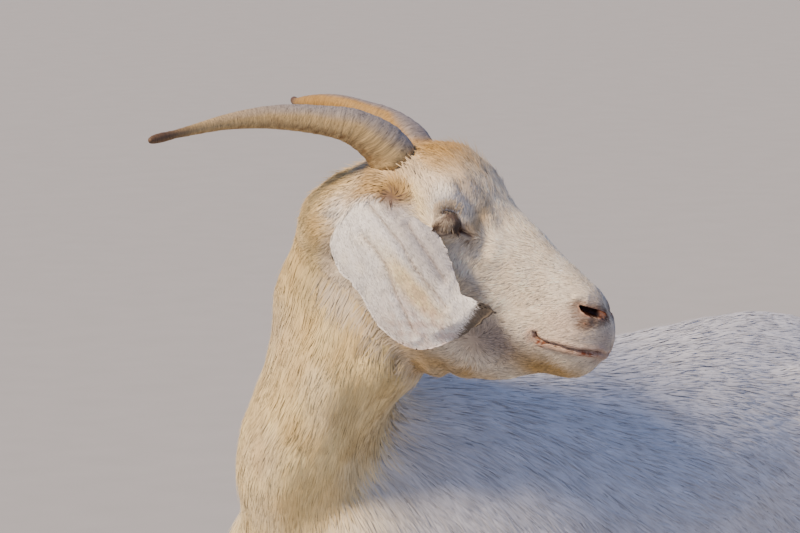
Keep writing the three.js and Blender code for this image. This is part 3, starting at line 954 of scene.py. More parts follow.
def skin_material():
    """Goatskin seen between short hairs: streaks of hair a millimetre apart, matt, moist where it is bare."""
    material, tree, shader = new_material("haired goatskin")
    pelt_and_shade, grain, bare = (add_node(tree, "Attribute", {"attribute_name": name}).outputs
                         for name in ("pelt_and_shade", "grain", "bare"))
    streaks = add_node(tree, "TexNoise", Vector=grain["Vector"], Scale=1.0, Detail=3.0, Roughness=0.6)
    tone = add_node(tree, "MapRange", Value=streaks, From_Min=0.3, From_Max=0.7, To_Min=0.78, To_Max=1.08)
    shade = add_node(tree, "VectorMath", {"operation": "SCALE"}, i0=pelt_and_shade["Color"], Scale=tone)
    rough = add_node(tree, "MapRange", Value=bare["Fac"], To_Min=0.68, To_Max=0.42)
    bump = add_node(tree, "Bump", Strength=0.35, Distance=0.0006, Height=streaks)
    fill(tree, shader, Base_Color=shade, Roughness=rough, Normal=bump, Specular_IOR_Level=0.35)
    return material


def finish_skin():
    """Gives the skin its colours and material. Returns how bare it is at each vertex."""
    mesh = skin.data
    points = places(mesh)
    colour, share = bare_skin(face_rest, skin_shares)
    # The skin's colour: markings and painted shade, with the bare skin laid over them.
    colour_of(mesh, "pelt_and_shade", painted(markings_and_shade(points, skin_shares), (colour, share)))
    attribute_of(mesh, "bare", share)
    attribute_of(mesh, "grain", to_head(points) * HAIR_STREAKS)
    mesh.materials.append(skin_material())
    return share


skin_bare = finish_skin()

# ---- Eyes ----
PUPIL_HALF = (4.8, 1.7)  # millimetres, level slot
CORNEA_RISE = 1.3


def eye_material():
    """A goat's eyeball under clear cornea: amber iris, level slot of a pupil, brown white, wet gloss."""
    material, tree, shader = new_material("wet eyeball")
    look = add_node(tree, "Attribute", {"attribute_name": "look"}).outputs["Vector"]
    part = add_node(tree, "SeparateXYZ", Vector=look).outputs
    wide, tall = (add_node(tree, "Math", {"operation": "MULTIPLY"}, i0=part[axis], i1=1 / half)
                  for axis, half in zip("XY", PUPIL_HALF))
    slot = add_node(tree, "CombineXYZ", X=wide, Y=tall)
    flat = add_node(tree, "CombineXYZ", X=part["X"], Y=part["Y"])
    slot_far, far = (add_node(tree, "VectorMath", {"operation": "LENGTH"}, i0=place).outputs["Value"]
                     for place in (slot, flat))
    pupil = add_node(tree, "MapRange", Value=slot_far, From_Min=1.12, From_Max=0.92)
    rim = add_node(tree, "MapRange", Value=far, From_Min=6.6, From_Max=8.4)
    rays = add_node(tree, "TexNoise", Vector=look, Scale=1.3, Detail=3.0)
    iris = add_node(tree, "MixRGB", Fac=rays, Color1=rgba("4a2d14"), Color2=rgba("a06a2a"))
    ball = add_node(tree, "MixRGB", Fac=rim, Color1=iris, Color2=rgba("2a1810"))
    seen = add_node(tree, "MixRGB", Fac=pupil, Color1=ball, Color2=rgba("050403"))
    fill(tree, shader, Base_Color=seen, Roughness=0.2, Coat_Weight=0.6, Coat_Roughness=0.05,
         Specular_IOR_Level=0.4)
    return material


def make_eyes():
    material = eye_material()
    for side, flip in FLIPS.items():
        axes = np.array([unit(axis * flip) for axis in (LID_RUN, LID_RISE, GAZE)])
        made = bmesh.new()
        bmesh.ops.create_uvsphere(made, u_segments=48, v_segments=32, radius=EYE_RADIUS)
        mesh = mesh_from(f"eye_{side}", made)
        ball = places(mesh)
        off_axis = np.hypot(ball[:, 0], ball[:, 1])
        ball[:, 2] += CORNEA_RISE * soft(off_axis, 8.0, 3.0) * (ball[:, 2] > 0)
        put_places(mesh, from_head(EYE * flip + ball @ axes))
        if np.linalg.det(axes) < 0:
            mesh.flip_normals()
        attribute_of(mesh, "look", ball)
        eye = shown(f"eye_{side}_ball", mesh, material)
        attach(eye, BODY)
        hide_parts(f"eye_{side}")


make_eyes()


# ---- Horns ----
# The right horn's middle line in the folded head frame, from its root in the skull to its tip.
HORN_LINE = np.array([(34, -26, 38), (26, -29, 51), (-6, -46, 63), (-42, -61, 56), (-75, -77, 43),
                      (-99, -96, 29), (-117, -124, 15), (-132, -158, 3)], float)
HORN_LENGTH = np.linalg.norm(np.diff(HORN_LINE, axis=0), axis=1).sum()
HORN_SUNK = 8.0  # millimetres that its foot is pushed into the head
TIP_DRAWN = 6.0  # millimetres that its tip is drawn out
RING_PITCH = 9.5  # growth rings, and finer ones between them
FINE_PITCH = 3.6
RING_HEIGHT = 0.18
HORN_VOXEL = 0.0013
# Each horn's tint; the left one is more golden, partly its own colour and partly painted warm light falling on
# it.
HORN_TINTS = {"right": "c2a878", "left": "ae8848"}


def horn_material():
    """Weathered horn, grown in rings: short marks across its length, dull and wax-like, darker at the tip."""
    material, tree, shader = new_material("weathered horn")
    tint, grain, run = (add_node(tree, "Attribute", {"attribute_name": name}).outputs
                        for name in ("tint", "grain", "run"))
    fibres = add_node(tree, "TexNoise", Vector=grain["Vector"], Scale=0.75, Detail=4.0, Roughness=0.7)
    wobble = add_node(tree, "TexNoise", Vector=grain["Vector"], Scale=0.12, Detail=2.0)
    bent = add_node(tree, "Math", {"operation": "MULTIPLY_ADD"}, i0=wobble, i1=5.0, i2=run["Fac"])
    rings = add_node(tree, "TexNoise", {"noise_dimensions": "1D"}, W=bent, Scale=0.5, Detail=3.0)
    both = add_node(tree, "Math", {"operation": "MULTIPLY_ADD"}, i0=rings, i1=0.35, i2=fibres)
    tone = add_node(tree, "MapRange", Value=both, From_Min=0.45, From_Max=0.9, To_Min=0.55, To_Max=1.25)
    marks = add_node(tree, "TexNoise", Vector=grain["Vector"], Scale=1.9, Detail=1.0)
    nick = add_node(tree, "MapRange", Value=marks, From_Min=0.57, From_Max=0.66, To_Min=1.0, To_Max=0.55)
    dull = add_node(tree, "Math", {"operation": "MULTIPLY"}, i0=tone, i1=nick)
    shade = add_node(tree, "VectorMath", {"operation": "SCALE"}, i0=tint["Color"], Scale=dull)
    rough = add_node(tree, "MapRange", Value=fibres, To_Min=0.42, To_Max=0.68)
    bump = add_node(tree, "Bump", Strength=0.5, Distance=0.0008, Height=both)
    fill(tree, shader, Base_Color=shade, Roughness=rough, Normal=bump, Specular_IOR_Level=0.4)
    return material


def shape_horn(mesh):
    """Rings, a flared foot and a blunt tip. Returns share along the horn, place off its line, and tilt up."""
    relax(mesh, 20 * SMOOTHING + 12 * MELTING)
    points = places(mesh)
    whole = to_head(points)
    at = folded(whole)
    share = from_line(at, HORN_LINE)[1]
    off = at - on_line(share, HORN_LINE)
    tilt = off[:, 2] / np.maximum(np.linalg.norm(off, axis=1), 1)
    run = share * HORN_LENGTH
    rings = np.sin(run * math.tau / RING_PITCH + 1.5 * ripple(points, 0.05, 31))
    rings = rings + 0.5 * np.sin(run * math.tau / FINE_PITCH)
    grown = RING_HEIGHT * rings * soft(share, 0.75, 0.1) - 0.3 * soft(share, 0.02, 0.2) + 0.25
    flare = soft(share, 0.36, 0.04) * (1.5 + 5.0 * soft(off @ unit(np.array((0.6, 0.0, 0.8))), -4, 9))
    blunt = 2.0 * soft(share, 0.90, 0.99)
    points += normals(mesh) * ((grown + flare + blunt) * MM)[:, None]
    moved = unit(HORN_LINE[0] - HORN_LINE[1]) * HORN_SUNK * soft(run, 9.0, 2.0)[:, None]
    moved += unit(HORN_LINE[-1] - HORN_LINE[-2]) * TIP_DRAWN * soft(share, 0.80, 1.0)[:, None]
    whole = to_head(points)
    moved[:, 1] *= fold_sign(whole)
    put_places(mesh, from_head(whole + moved))
    return at, share, off, tilt


def make_horns():
    material = horn_material()
    for side, tint in HORN_TINTS.items():
        horn = remeshed(f"horn_{side}_grown", [f"horn_{side}"], HORN_VOXEL)
        mesh = horn.data
        at, share, off, tilt = shape_horn(mesh)
        colour_of(mesh, "tint", painted(
            linear(tint),
            # Painted sheen of the sky: grey-blue along the upper side, towards the foot.
            (linear("8f8d93"), 0.85 * soft(tilt, 0.35, 0.95) * soft(share, 0.85, 0.4)),
            # Darker speckled brown underneath: partly the horn's own colour, partly painted shade.
            (linear("80623a"), soft(tilt, -0.1, -0.8) * (0.45 + 0.35 * ripple(at, 4.0, 32))),
            (linear("5a4032"), 0.9 * soft(share, 0.76, 0.95)),
            (linear("6b5138"), 0.7 * mound(at, (-60, -84, 46), (7, 5, 3))),  # a scar
        ))
        run = share * HORN_LENGTH
        attribute_of(mesh, "run", run)
        attribute_of(mesh, "grain", off * 0.30 + run[:, None] * np.array((0.25, 0.15, 0.95)))
        mesh.materials.append(material)
        mesh.shade_smooth()
        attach(horn, BODY)
        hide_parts(f"horn_{side}")


make_horns()


# ---- Hooves ----
HOOF_VOXEL = 0.0016
SOLE_BAND = 1.6 * MM  # what lies lower than this is laid flat on the floor
FETLOCK_HEIGHT = 0.085
DEWCLAW_HEIGHT = 0.072
DEWCLAW_APART = 0.0095  # half the distance between the two
DEWCLAW_RADIUS = 0.006
DEWCLAW_SUNK = 0.0045  # how far its middle is inside the leg's rear


def hoof_material():
    """Goat hoof: hard dull horn with growth lines round it, dusty pale at the hair and darker at the edge."""
    material, tree, shader = new_material("hoof horn")
    place = add_node(tree, "TexCoord").outputs["Object"]
    height = add_node(tree, "SeparateXYZ", Vector=place).outputs["Z"]
    wobble = add_node(tree, "TexNoise", Vector=place, Scale=60.0, Detail=2.0)
    level = add_node(tree, "Math", {"operation": "MULTIPLY_ADD"}, i0=wobble, i1=0.004, i2=height)
    rings = add_node(tree, "TexNoise", {"noise_dimensions": "1D"}, W=level, Scale=420.0, Detail=2.0)
    fade = add_node(tree, "MapRange", Value=height, From_Min=0.0, From_Max=0.045)
    horn = add_node(tree, "MixRGB", Fac=fade, Color1=rgba("4a3d31"), Color2=rgba("94826a"))
    tone = add_node(tree, "MapRange", Value=rings, From_Min=0.3, From_Max=0.7, To_Min=0.7, To_Max=1.1)
    shade = add_node(tree, "VectorMath", {"operation": "SCALE"}, i0=horn, Scale=tone)
    bump = add_node(tree, "Bump", Strength=0.5, Distance=0.0008, Height=rings)
    fill(tree, shader, Base_Color=shade, Normal=bump, Roughness=0.6, Specular_IOR_Level=0.35)
    return material


def add_dewclaws(mesh, leg):
    """The two small claws behind the fetlock."""
    shin = places(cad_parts[f"{leg}_lower"].data)
    near = shin[np.abs(shin[:, 2] - FETLOCK_HEIGHT) < 0.022]
    middle = near.mean(0)
    made = bmesh.new()
    made.from_mesh(mesh)
    for sign in (-1, 1):
        ball = bmesh.ops.create_uvsphere(made, u_segments=20, v_segments=12, radius=DEWCLAW_RADIUS)["verts"]
        bmesh.ops.scale(made, verts=ball, vec=(1.0, 0.85, 1.35))
        for corner in ball:
            corner.co.x -= 0.25 * min(corner.co.z, 0.0)  # its point leans in under the fetlock
        at = (near[:, 0].min() + DEWCLAW_SUNK, middle[1] + sign * DEWCLAW_APART, DEWCLAW_HEIGHT)
        bmesh.ops.translate(made, verts=ball, vec=at)
    made.to_mesh(mesh)
    made.free()


def make_hooves():
    material = hoof_material()
    for leg in LEGS:
        claws = [f"{leg}_claw_outer", f"{leg}_claw_inner"]
        hoof = remeshed(f"{leg}_hoof", claws, HOOF_VOXEL)
        mesh = hoof.data
        relax(mesh, 8 * SMOOTHING)
        points = places(mesh)
        points[:, 2] = np.where(points[:, 2] < SOLE_BAND, 0.0, points[:, 2])
        put_places(mesh, points)
        add_dewclaws(mesh, leg)
        mesh.materials.append(material)
        mesh.shade_smooth()
        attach(hoof, BODY)
        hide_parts(*claws)


make_hooves()


# ---- The lie of the coat ----
LIE_ON_HEAD = [  # folded head place, the way the hair points there
    ((262, -10, 14), (-0.8, -0.4, 0.2)), ((255, -14, 4), (-0.6, -0.5, -0.3)),
    ((200, 0, 40), (-0.9, -0.4, 0.0)), ((220, -25, 0), (-0.75, -0.2, -0.6)),
    ((180, -38, -10), (-0.7, -0.1, -0.75)), ((150, -40, -50), (-0.6, 0.0, -0.8)),
    ((120, -38, -90), (-0.9, 0.1, -0.4)), ((240, -20, -55), (-0.6, 0.0, -0.8)),
    ((250, -10, -66), (-1.0, 0.0, -0.15)), ((200, -10, -88), (-1.0, -0.1, 0.0)),
    ((140, 0, -110), (-1.0, 0.0, 0.0)), ((102, -52, 38), (-0.3, -0.1, 0.9)),
    ((120, -42, 44), (0.2, -0.1, 0.9)), ((82, -54, 36), (-0.8, -0.1, 0.5)),
    ((118, -44, 8), (0.1, -0.2, -0.9)), ((96, -50, 6), (-0.4, -0.1, -0.9)),
    ((132, -14, 62), (-0.95, 0.0, 0.4)), ((95, -8, 82), (-1.0, 0.0, 0.25)),
    ((60, -30, 72), (-0.95, -0.1, 0.1)), ((10, 0, 40), (-0.9, 0.0, -0.4)),
    ((-20, 0, 0), (-0.5, 0.0, -0.8)), ((60, -55, 0), (-0.6, -0.1, -0.8)),
    ((60, -50, -60), (-0.5, 0.0, -0.85)),
]
WHORLS = [((50, -56, 26), 2.2), ((163, -30, -62), 0.3)]  # middle, and how much the hair runs round it
WHORL_RADIUS = 8
for middle, swirl in WHORLS:
    for turn in np.arange(0, math.tau, math.tau / 5):
        spoke = np.array((math.cos(turn), 0.0, math.sin(turn)))
        round_it = np.array((-spoke[2], 0.0, spoke[0]))
        LIE_ON_HEAD.append((np.array(middle) + WHORL_RADIUS * spoke, spoke + swirl * round_it))
LIE_ON_TRUNK = [  # folded place on the body before the part was centred, the way the hair points there
    ((0.20, 0.0, 0.72), (-1.0, 0.0, -0.1)), ((-0.10, 0.0, 0.71), (-1.0, 0.0, 0.0)),
    ((-0.38, 0.0, 0.66), (-1.0, 0.0, -0.3)), ((0.15, -0.15, 0.60), (-0.6, -0.1, -0.8)),
    ((-0.05, -0.2, 0.55), (-0.8, 0.0, -0.55)), ((-0.28, -0.15, 0.60), (-0.9, 0.0, -0.4)),
    ((0.30, -0.1, 0.50), (-0.3, 0.0, -0.95)), ((0.33, 0.0, 0.45), (0.0, 0.0, -1.0)),
    ((0.0, 0.0, 0.32), (-1.0, 0.0, 0.0)), ((0.0, -0.18, 0.38), (-0.8, 0.3, -0.5)),
    ((-0.35, -0.12, 0.50), (-0.4, 0.0, -0.9)), ((-0.42, 0.0, 0.55), (-0.2, 0.0, -1.0)),
]
HANGING = dict(tail=(-0.3, 0, -1), udder=(-0.2, 0, -1), thigh=(-0.15, 0, -1), shank=(-0.15, 0, -1))
# The neck's middle line, in millimetres from the chest to the head, before the part was centred.
NECK_LINE = np.array([(200, 0, 545), (263, 3, 598), (292, 18, 645), (288, 49, 698), (274, 71, 748),
                      (268, 80, 796), (270, 81, 828)]) * MM + SHIFT


def guided(whole, guides, reach):
    """The direction at each place, drawn from guides on the folded half; the nearer ones count for more."""
    at = folded(whole)
    way = np.zeros((len(at), 3))
    for place, heading in guides:
        way += (((at - place) ** 2).sum(1) + reach**2)[:, None] ** -1.6 * unit(np.array(heading, float))
    way[:, 1] *= fold_sign(whole)
    return way


def neck_lie(points):
    """Down the neck's middle line, from the head to the chest."""
    share = from_line(points, NECK_LINE)[1]
    way = np.gradient(NECK_LINE, axis=0)
    return -unit(np.stack([np.interp(share, np.linspace(0, 1, len(way)), column) for column in way.T], 1))


def lie_of_coat(mesh, shares):
    """The way the hair points at each vertex, along the skin."""
    points = places(mesh)
    out = normals(mesh)
    ways = {
        "head": unit(guided(to_head(points), LIE_ON_HEAD, 9.0) @ HEAD_AXES),
        "neck": neck_lie(points),
        "trunk": unit(guided(points - SHIFT, LIE_ON_TRUNK, 0.05)),
        "ear": by_side(points, *(axes[0] for _, axes in EARS.values())),
        **HANGING,
    }
    total = sum(shares[:, [REGION[name]]] * np.array(way) for name, way in ways.items())
    pairs = edges(mesh)
    for _ in range(4):
        total = unit(along_skin(total, out))
        total = 0.5 * total + 0.5 * neighbours_mean(pairs, total)
    return unit(along_skin(total, out))


skin_points = places(skin.data)
skin_out = normals(skin.data)
skin_lie = lie_of_coat(skin.data, skin_shares)
skin_tree = tree_of(skin.data)
skin_faces = triangles(skin.data)
first, second, third = (skin_points[skin_faces[:, corner]] for corner in range(3))
skin_areas = np.linalg.norm(np.cross(second - first, third - first), axis=1) / 2
face_owner = skin_shares[skin_faces].mean(1).argmax(1)

# ---- The coat: solid locks rooted in the skin ----
# A goat's hair is a twentieth of a millimetre thick, too fine to show, so each lock stands for many hairs.
# Length, width and spacing of the locks in millimetres, how far their tips stand off the skin, how much they
# turn from the lie of the coat, their thickness as a share of half the width, and how much their tone varies.
LOCKS = {
    "head": (8.5, 1.05, 1.34, 0.8, 0.20, 0.7, 0.13),
    "ear": (5.2, 0.75, 1.24, 0.35, 0.18, 0.6, 0.13),
    "neck": (31.0, 1.75, 1.75, 1.1, 0.10, 0.34, 0.05),
    "trunk": (38.0, 2.6, 2.86, 1.2, 0.11, 0.32, 0.05),
    "tail": (36.0, 2.2, 2.5, 3.0, 0.16, 0.4, 0.05),
    "udder": (4.0, 0.9, 3.2, 0.4, 0.2, 0.6, 0.05),
    "thigh": (28.0, 2.4, 2.75, 1.0, 0.11, 0.34, 0.05),
    "shank": (10.0, 1.4, 2.15, 0.6, 0.13, 0.5, 0.06),
}
# How level a lock has to lie from root to tip, so that none wraps round a thin edge.
LEVEL = {"ear": 0.95, "tail": 0.95}
LEVEL_ELSEWHERE = 0.6
# The share of hairs that are darker.
DARK_HAIRS = {"head": 0.09, "ear": 0.16}
DARK_ELSEWHERE = 0.02
LOOSE_HAIRS = 0.09  # share of hairs that stand off the others
BALD_FROM = 0.35  # bareness of the skin from which no lock grows
# Streaks of slightly different tone run along the hair, roughly this way.
STREAKS = {"neck": unit(NECK_LINE[0] - NECK_LINE[-1]), "trunk": unit(np.array((-0.85, 0.0, -0.35)))}
# A lock's six faces on its five corners: root, one side, ridge, other side and tip.
LOCK_FACES = np.array([(0, 2, 1), (0, 3, 2), (0, 1, 3), (4, 1, 2), (4, 2, 3), (4, 3, 1)])
LOCK_PATCH = np.array([(0, -1), (-1, 0), (0, 0.1), (1, 0), (0, 1)]) * 0.0015  # its corners on the unwrap
# Painted shade and light along each lock, by corner: darker at the root, deep in the coat, and lighter at the
# tip; more so on the lashes.
LOCK_SHADE_TONES = np.array((0.88, 0.98, 1.0, 0.98, 1.03))
LASH_SHADE_TONES = np.array((0.75, 0.95, 1.0, 0.95, 1.08))


def hair_growth(points, name):
    """How the hair's length and stand differ from its region's usual."""
    if name != "head":
        return np.ones(len(points)), np.ones(len(points))
    at = folded(to_head(points))
    poll = np.clip(mound(at, (46, 0, 66), (64, 60, 30)) + mound(at, (0, -20, 10), (50, 60, 50)), 0, 1)
    far_brow = mound(at, (104, 0, 68), (26, 30, 14))
    jaw = soft(at[:, 2], -84, -108) + 0.5 * mound(at, (246, 0, -66), (22, 30, 14))
    muzzle = soft(at[:, 0], 180, 250)
    eye = mound(at, EYE + 14 * GAZE + 4 * LID_RISE, (19, 19, 17))
    horn_foot = mound(at, (48, -34, 46), (17, 20, 18))
    length = 1 + 1.1 * poll + 0.9 * far_brow + 0.7 * jaw + 1.2 * horn_foot - 0.35 * muzzle - 0.55 * eye
    return np.clip(length, 0.4, 2.6), 1 + 1.6 * far_brow + 0.4 * poll + 1.5 * horn_foot


def scatter(name):
    """Roots spread evenly over a region of the skin: place, normal, lie and shares of the regions."""
    spacing = LOCKS[name][2] * MM
    weight = skin_areas * (face_owner == REGION[name]) / spacing**2
    reach = np.cumsum(weight)
    count = int(reach[-1])
    picks = np.searchsorted(reach, np.arange(count) + rng.random(count)).clip(0, len(weight) - 1)
    a, b = np.sqrt(rng.random(count)), rng.random(count)
    mix = np.stack([1 - a, a * (1 - b), a * b], 1)[:, :, None]
    corners = skin_faces[picks]
    found = [(values[corners] * mix).sum(1) for values in (skin_points, skin_out, skin_lie, skin_shares)]
    bare = (skin_bare[corners] * mix[:, :, 0]).sum(1)
    kept = (bare < BALD_FROM) | (name == "udder")
    return [values[kept] for values in found]


def settle(points, out, lift):
    """Places laid on the skin and lifted off it again, the skin's normals there, and whether it was found."""
    laid_on, facing = points.copy(), out.copy()
    found = np.zeros(len(points), bool)
    for i, (point, normal) in enumerate(zip(points.tolist(), out.tolist())):
        spot, way, _, gap = skin_tree.find_nearest(point)
        if gap < 0.02 and way.dot(normal) > 0.5:
            laid_on[i] = spot
            facing[i] = way
            found[i] = True
    return laid_on + facing * lift[:, None], facing, found


def lock_corners(spots, outs, way, width, thick):
    """Corners at the root, round the middle, and at the tip, with the normals that they show."""
    root, mid, tip = spots
    out, mid_out, tip_out = outs
    side = unit(np.cross(mid_out, way))
    wide = (width / 2)[:, None]
    corners = np.stack([root, mid + side * wide, mid + mid_out * wide * thick, mid - side * wide, tip], 1)
    lean = side * (0.14 + 0.30 * thick)
    facing = np.stack([out, mid_out + lean, mid_out, mid_out - lean, tip_out + 0.3 * way], 1)
    return corners, unit(facing)


def make_locks(root, out, way, length, width, lift, thick):
    """Closed, three-sided, tapering locks laid on the skin, their normals, and which of them do lie on it."""
    half = (length / 2)[:, None]
    mid, mid_out, mid_found = settle(root + way * half, out, 0.45 * lift)
    mid_way = unit(along_skin(way, mid_out))
    tip, tip_out, tip_found = settle(mid + mid_way * half, mid_out, lift)
    sunk = root - out * 0.5 * MM
    corners, facing = lock_corners((sunk, mid, tip), (out, mid_out, tip_out), mid_way, width, thick)
    return corners, facing, mid_found & tip_found


def join_locks(name, corners, facing, colours, unwrapped, material):
    """One mesh of many locks, with their colours, normals and patches on the unwrap."""
    count = len(corners)
    faces = (np.arange(count)[:, None, None] * 5 + LOCK_FACES).reshape(-1)
    mesh = bpy.data.meshes.new(name)
    mesh.vertices.add(count * 5)
    mesh.loops.add(len(faces))
    mesh.polygons.add(len(faces) // 3)
    mesh.vertices.foreach_set("co", corners.astype(np.float32).ravel())
    mesh.loops.foreach_set("vertex_index", faces.astype(np.int32))
    mesh.polygons.foreach_set("loop_start", np.arange(0, len(faces), 3, dtype=np.int32))
    mesh.update(calc_edges=True)
    colour_of(mesh, "pelt_and_shade", colours.reshape(-1, 3))
    flat = (unwrapped[:, None] + LOCK_PATCH).reshape(-1, 2)[faces]
    mesh.uv_layers.new(name="OFBake").data.foreach_set("uv", flat.astype(np.float32).ravel())
    made = shown(name, mesh, material)
    attribute_of(mesh, "custom_normal", facing.reshape(-1, 3))
    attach(made, BODY)


def spread(values):
    """Values stretched over a side of the map."""
    low, high = values.min(), values.max()
    return 0.004 + 0.992 * (values - low) / (high - low)


def spread_both(flat):
    """Both columns stretched over the map."""
    return np.stack([spread(flat[:, 0]), spread(flat[:, 1])], 1)


def round_line(points, line):
    """Unwraps places round a middle line: the angle about it, and how far along it they are."""
    line = np.asarray(line, float)
    share = from_line(points, line)[1]
    middle = on_line(share, line)
    ahead = unit(line[-1] - line[0])
    up = unit(np.cross(ahead, (0.12, 0.97, 0.2)))
    off = points - middle
    return np.stack([np.arctan2(off @ np.cross(ahead, up), off @ up), share], 1)


def round_node(points, node):
    """Unwraps places round the upright line through a CAD node's middle."""
    low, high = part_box(node)
    middle = (low + high) / 2
    return round_line(points, [(middle.x, middle.y, high.z + 0.02), (middle.x, middle.y, low.z - 0.02)])


def ear_unwrap(points, out, side):
    """Outer face of the ear on one half of the map, inner face on the other."""
    middle, axes = EARS[side]
    off = (points - middle) @ axes.T
    outer = out @ axes[2] > 0
    across = np.clip(off[:, 1] / 0.062, -0.98, 0.98)
    return np.stack([np.where(outer, 0.25, 0.75) + 0.24 * across, off[:, 0]], 1)


def locks_of(name, chosen=None):
    """Roots, normals, corners, shown normals and colours of a region's locks, or of the chosen ones."""
    root, out, way, shares = scatter(name)
    if chosen is not None:
        kept = chosen(root)
        root, out, way, shares = (values[kept] for values in (root, out, way, shares))
    out = unit(out)
    count = len(root)
    length, width, _, lift, turning, thick, varied = LOCKS[name]
    turn = turning * (1.1 * ripple(root, 0.011, 41) + 0.8 * rng.normal(size=count))
    way = unit(way + np.cross(out, way) * turn[:, None])
    grown, stand = hair_growth(root, name)
    loose = rng.random(count) < LOOSE_HAIRS
    length = length * grown * rng.uniform(0.7, 1.25, count) * MM
    width = width * np.sqrt(grown) * rng.uniform(0.75, 1.2, count) * np.where(loose, 0.45, 1.0) * MM
    lift = lift * stand * grown * rng.uniform(0.45, 1.15, count) * np.where(loose, 2.8, 1.0) * MM
    lift *= 1 + 0.35 * ripple(root, 0.014, 42)
    corners, facing, lying = make_locks(root, out, way, length, width, lift, thick)
    tone = 1 + 0.6 * varied * ripple(root, 0.006, 43) + varied * rng.normal(size=count)
    if name in STREAKS:
        straight = root - 0.93 * STREAKS[name] * (root @ STREAKS[name])[:, None]
        tone += 0.05 * ripple(straight, 0.0035, 44) + 0.05 * ripple(straight, 0.010, 45)
    tone *= np.where(rng.random(count) < DARK_HAIRS.get(name, DARK_ELSEWHERE), 0.6, 1.0)
    # Each lock's colour: the markings, its own tone, and painted shade towards its root.
    colours = np.clip(markings_and_shade(root, shares)[:, None] * (tone[:, None] * LOCK_SHADE_TONES)[:, :, None], 0, 1)
    lying &= (facing[:, 0] * facing[:, 2]).sum(1) > LEVEL.get(name, LEVEL_ELSEWHERE)
    return [values[lying] for values in (root, out, corners, facing, colours)]


LID_HAIRS = 1050  # on each side, lashes and the brow's lowest hairs among them
LASH_SHARE = 0.10
BROW_SHARE = 0.45
LASH_LENGTH = (7.0, 9.5)
LID_HAIR_LENGTH = (3.5, 5.5)
LASH_WIDTH = 0.42
LID_HAIR_WIDTH = 0.55
LASH_THICK = 0.8


def lid_hairs(flip):
    """Hairs of one eye's lid, brow and lashes: corners, shown normals, colours and places on the unwrap."""
    count = LID_HAIRS
    pick = rng.random(count)
    lash = pick < LASH_SHARE
    brow = pick > 1 - BROW_SHARE
    along = rng.uniform(-11.5, 10.5, count)
    row = np.where(lash, 0.0, rng.random(count))
    edge = lid_edges(along)[0]
    fold = np.maximum(lid_fold(along), edge + 1)
    rise = np.where(brow, fold - 3.0 + 9.0 * row, edge + 0.4 + row * (fold - edge - 0.4))
    start = EYE + LID_RUN * along[:, None] + LID_RISE * rise[:, None]
    start = start + GAZE * np.sqrt(np.maximum(17.0**2 - along**2 - rise**2, 60))[:, None]
    run, up, gaze = (np.tile(unit(axis * flip) @ HEAD_AXES, (count, 1)) for axis in (LID_RUN, LID_RISE, GAZE))
    root, out, _ = settle(from_head(start * flip), gaze, np.full(count, -0.3 * MM))
    fan = 0.045 * along[:, None] * run + rng.normal(0, 0.12, (count, 3))
    flat = unit(along_skin(np.where(brow[:, None], up, -up) + fan, out))
    stand = np.where(brow, 0.35, 0.10)[:, None]
    way = unit(np.where(lash[:, None], -up + 0.75 * gaze + fan, flat + stand * out))
    far_way = unit(np.where(lash[:, None], -up - 0.1 * gaze + fan, way - 0.22 * out))
    long_ones = rng.uniform(*LASH_LENGTH, count)
    short_ones = rng.uniform(*LID_HAIR_LENGTH, count) * np.where(brow, 1.4, 1)
    half = np.where(lash, long_ones, short_ones)[:, None] * MM / 2
    mid = root + way * half
    width = np.where(lash, LASH_WIDTH, LID_HAIR_WIDTH) * rng.uniform(0.8, 1.2, count) * MM
    outs = (unit(out + 0.4 * gaze),) * 3
    corners, facing = lock_corners((root, mid, mid + far_way * half), outs, way, width, LASH_THICK)
    # Lid hairs are dark brown, with pale ones low in the middle; the rows near the fold stay dark, and the
    # brow's lowest hairs darken towards it: the hair's own brown with painted shade under the brow.
    pale = soft(np.abs(along + 0.5), 7.0, 3.5) * soft(row, 0.9, 0.55) * rng.uniform(0.25, 1.0, count)
    pale = np.maximum(pale, 1.2 * haired_lid(along, rise))
    fold_shade_and_brown = soft(row, 0.75, 0.15) * soft(np.abs(along - 1.5), 10, 5) * rng.uniform(0.45, 0.95, count)
    tone = np.where(brow, 0.95 - fold_shade_and_brown, 0.08 + 0.70 * pale)[:, None] * LASH_SHADE_TONES
    return corners, facing, DARK + (LASH - DARK) * tone[:, :, None], np.stack([along, flip[1] + 0.2 * row], 1)


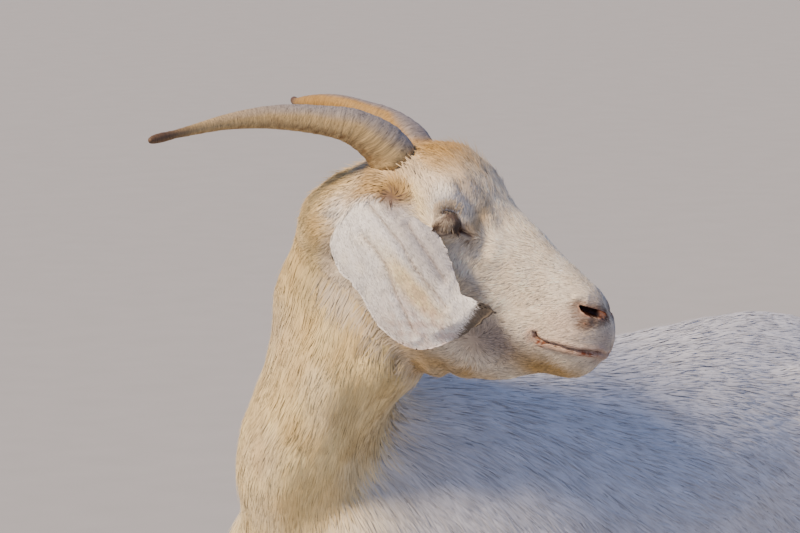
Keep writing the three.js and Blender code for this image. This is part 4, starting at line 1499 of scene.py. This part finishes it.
def make_lashes(hair):
    """Fine hair on the upper lids and up from the fold above them, and lashes that hang over the eyes."""
    made = [lid_hairs(flip) for flip in FLIPS.values()]
    corners, facing, colours, place = (np.concatenate(values) for values in zip(*made))
    join_locks("lashes", corners, facing, colours, spread_both(place), hair)


def coat_material():
    """Goat hair, straight and dry: soft sheen along the strands, each lock a little different in tone."""
    material, tree, shader = new_material("goat hair")
    # The locks' colours, with painted shade towards their roots.
    pelt_and_shade = add_node(tree, "Attribute", {"attribute_name": "pelt_and_shade"})
    fill(tree, shader, Base_Color=pelt_and_shade, Roughness=0.62, Specular_IOR_Level=0.3, Sheen_Weight=0.2,
         Sheen_Roughness=0.5)
    return material


def make_coat():
    hair = coat_material()

    def put(name, found, unwrapped, cuts=1):
        """Joins the locks in pieces, cut along the second side of the unwrap."""
        _, _, corners, facing, colours = found
        order = np.argsort(unwrapped[:, 1])
        for number, part in enumerate(np.array_split(order, cuts)):
            label = name if cuts == 1 else f"{name}_{number + 1}"
            own = spread_both(unwrapped[part])
            join_locks(label, corners[part], facing[part], colours[part], own, hair)

    make_lashes(hair)
    middle_lines = {
        "head": (from_head([(-90, 0, -25), (290, 0, -25)]), 2),
        "neck": (NECK_LINE, 2),
        "trunk": ([(-0.47, SHIFT[1], 0.53), (0.40, SHIFT[1], 0.53)], 3),
    }
    for name, (line, cuts) in middle_lines.items():
        found = locks_of(name)
        put(f"coat_{name}", found, round_line(found[0], line), cuts)
    for name in ("tail", "udder"):
        found = locks_of(name)
        put(f"coat_{name}", found, round_node(found[0], name))
    for side in ("left", "right"):
        found = locks_of("ear", lambda points: (to_head(points)[:, 1] > 0) == (side == "left"))
        put(f"coat_ear_{side}", found, ear_unwrap(found[0], found[1], side))
    for leg in LEGS:

        def of_leg(points):
            ahead, left = points[:, 0] > 0, points[:, 1] > SHIFT[1]
            return (ahead == ("front" in leg)) & (left == ("left" in leg))

        for part, region in (("upper", "thigh"), ("lower", "shank")):
            found = locks_of(region, of_leg)
            put(f"coat_{leg}_{part}", found, round_node(found[0], f"{leg}_{part}"))


make_coat()
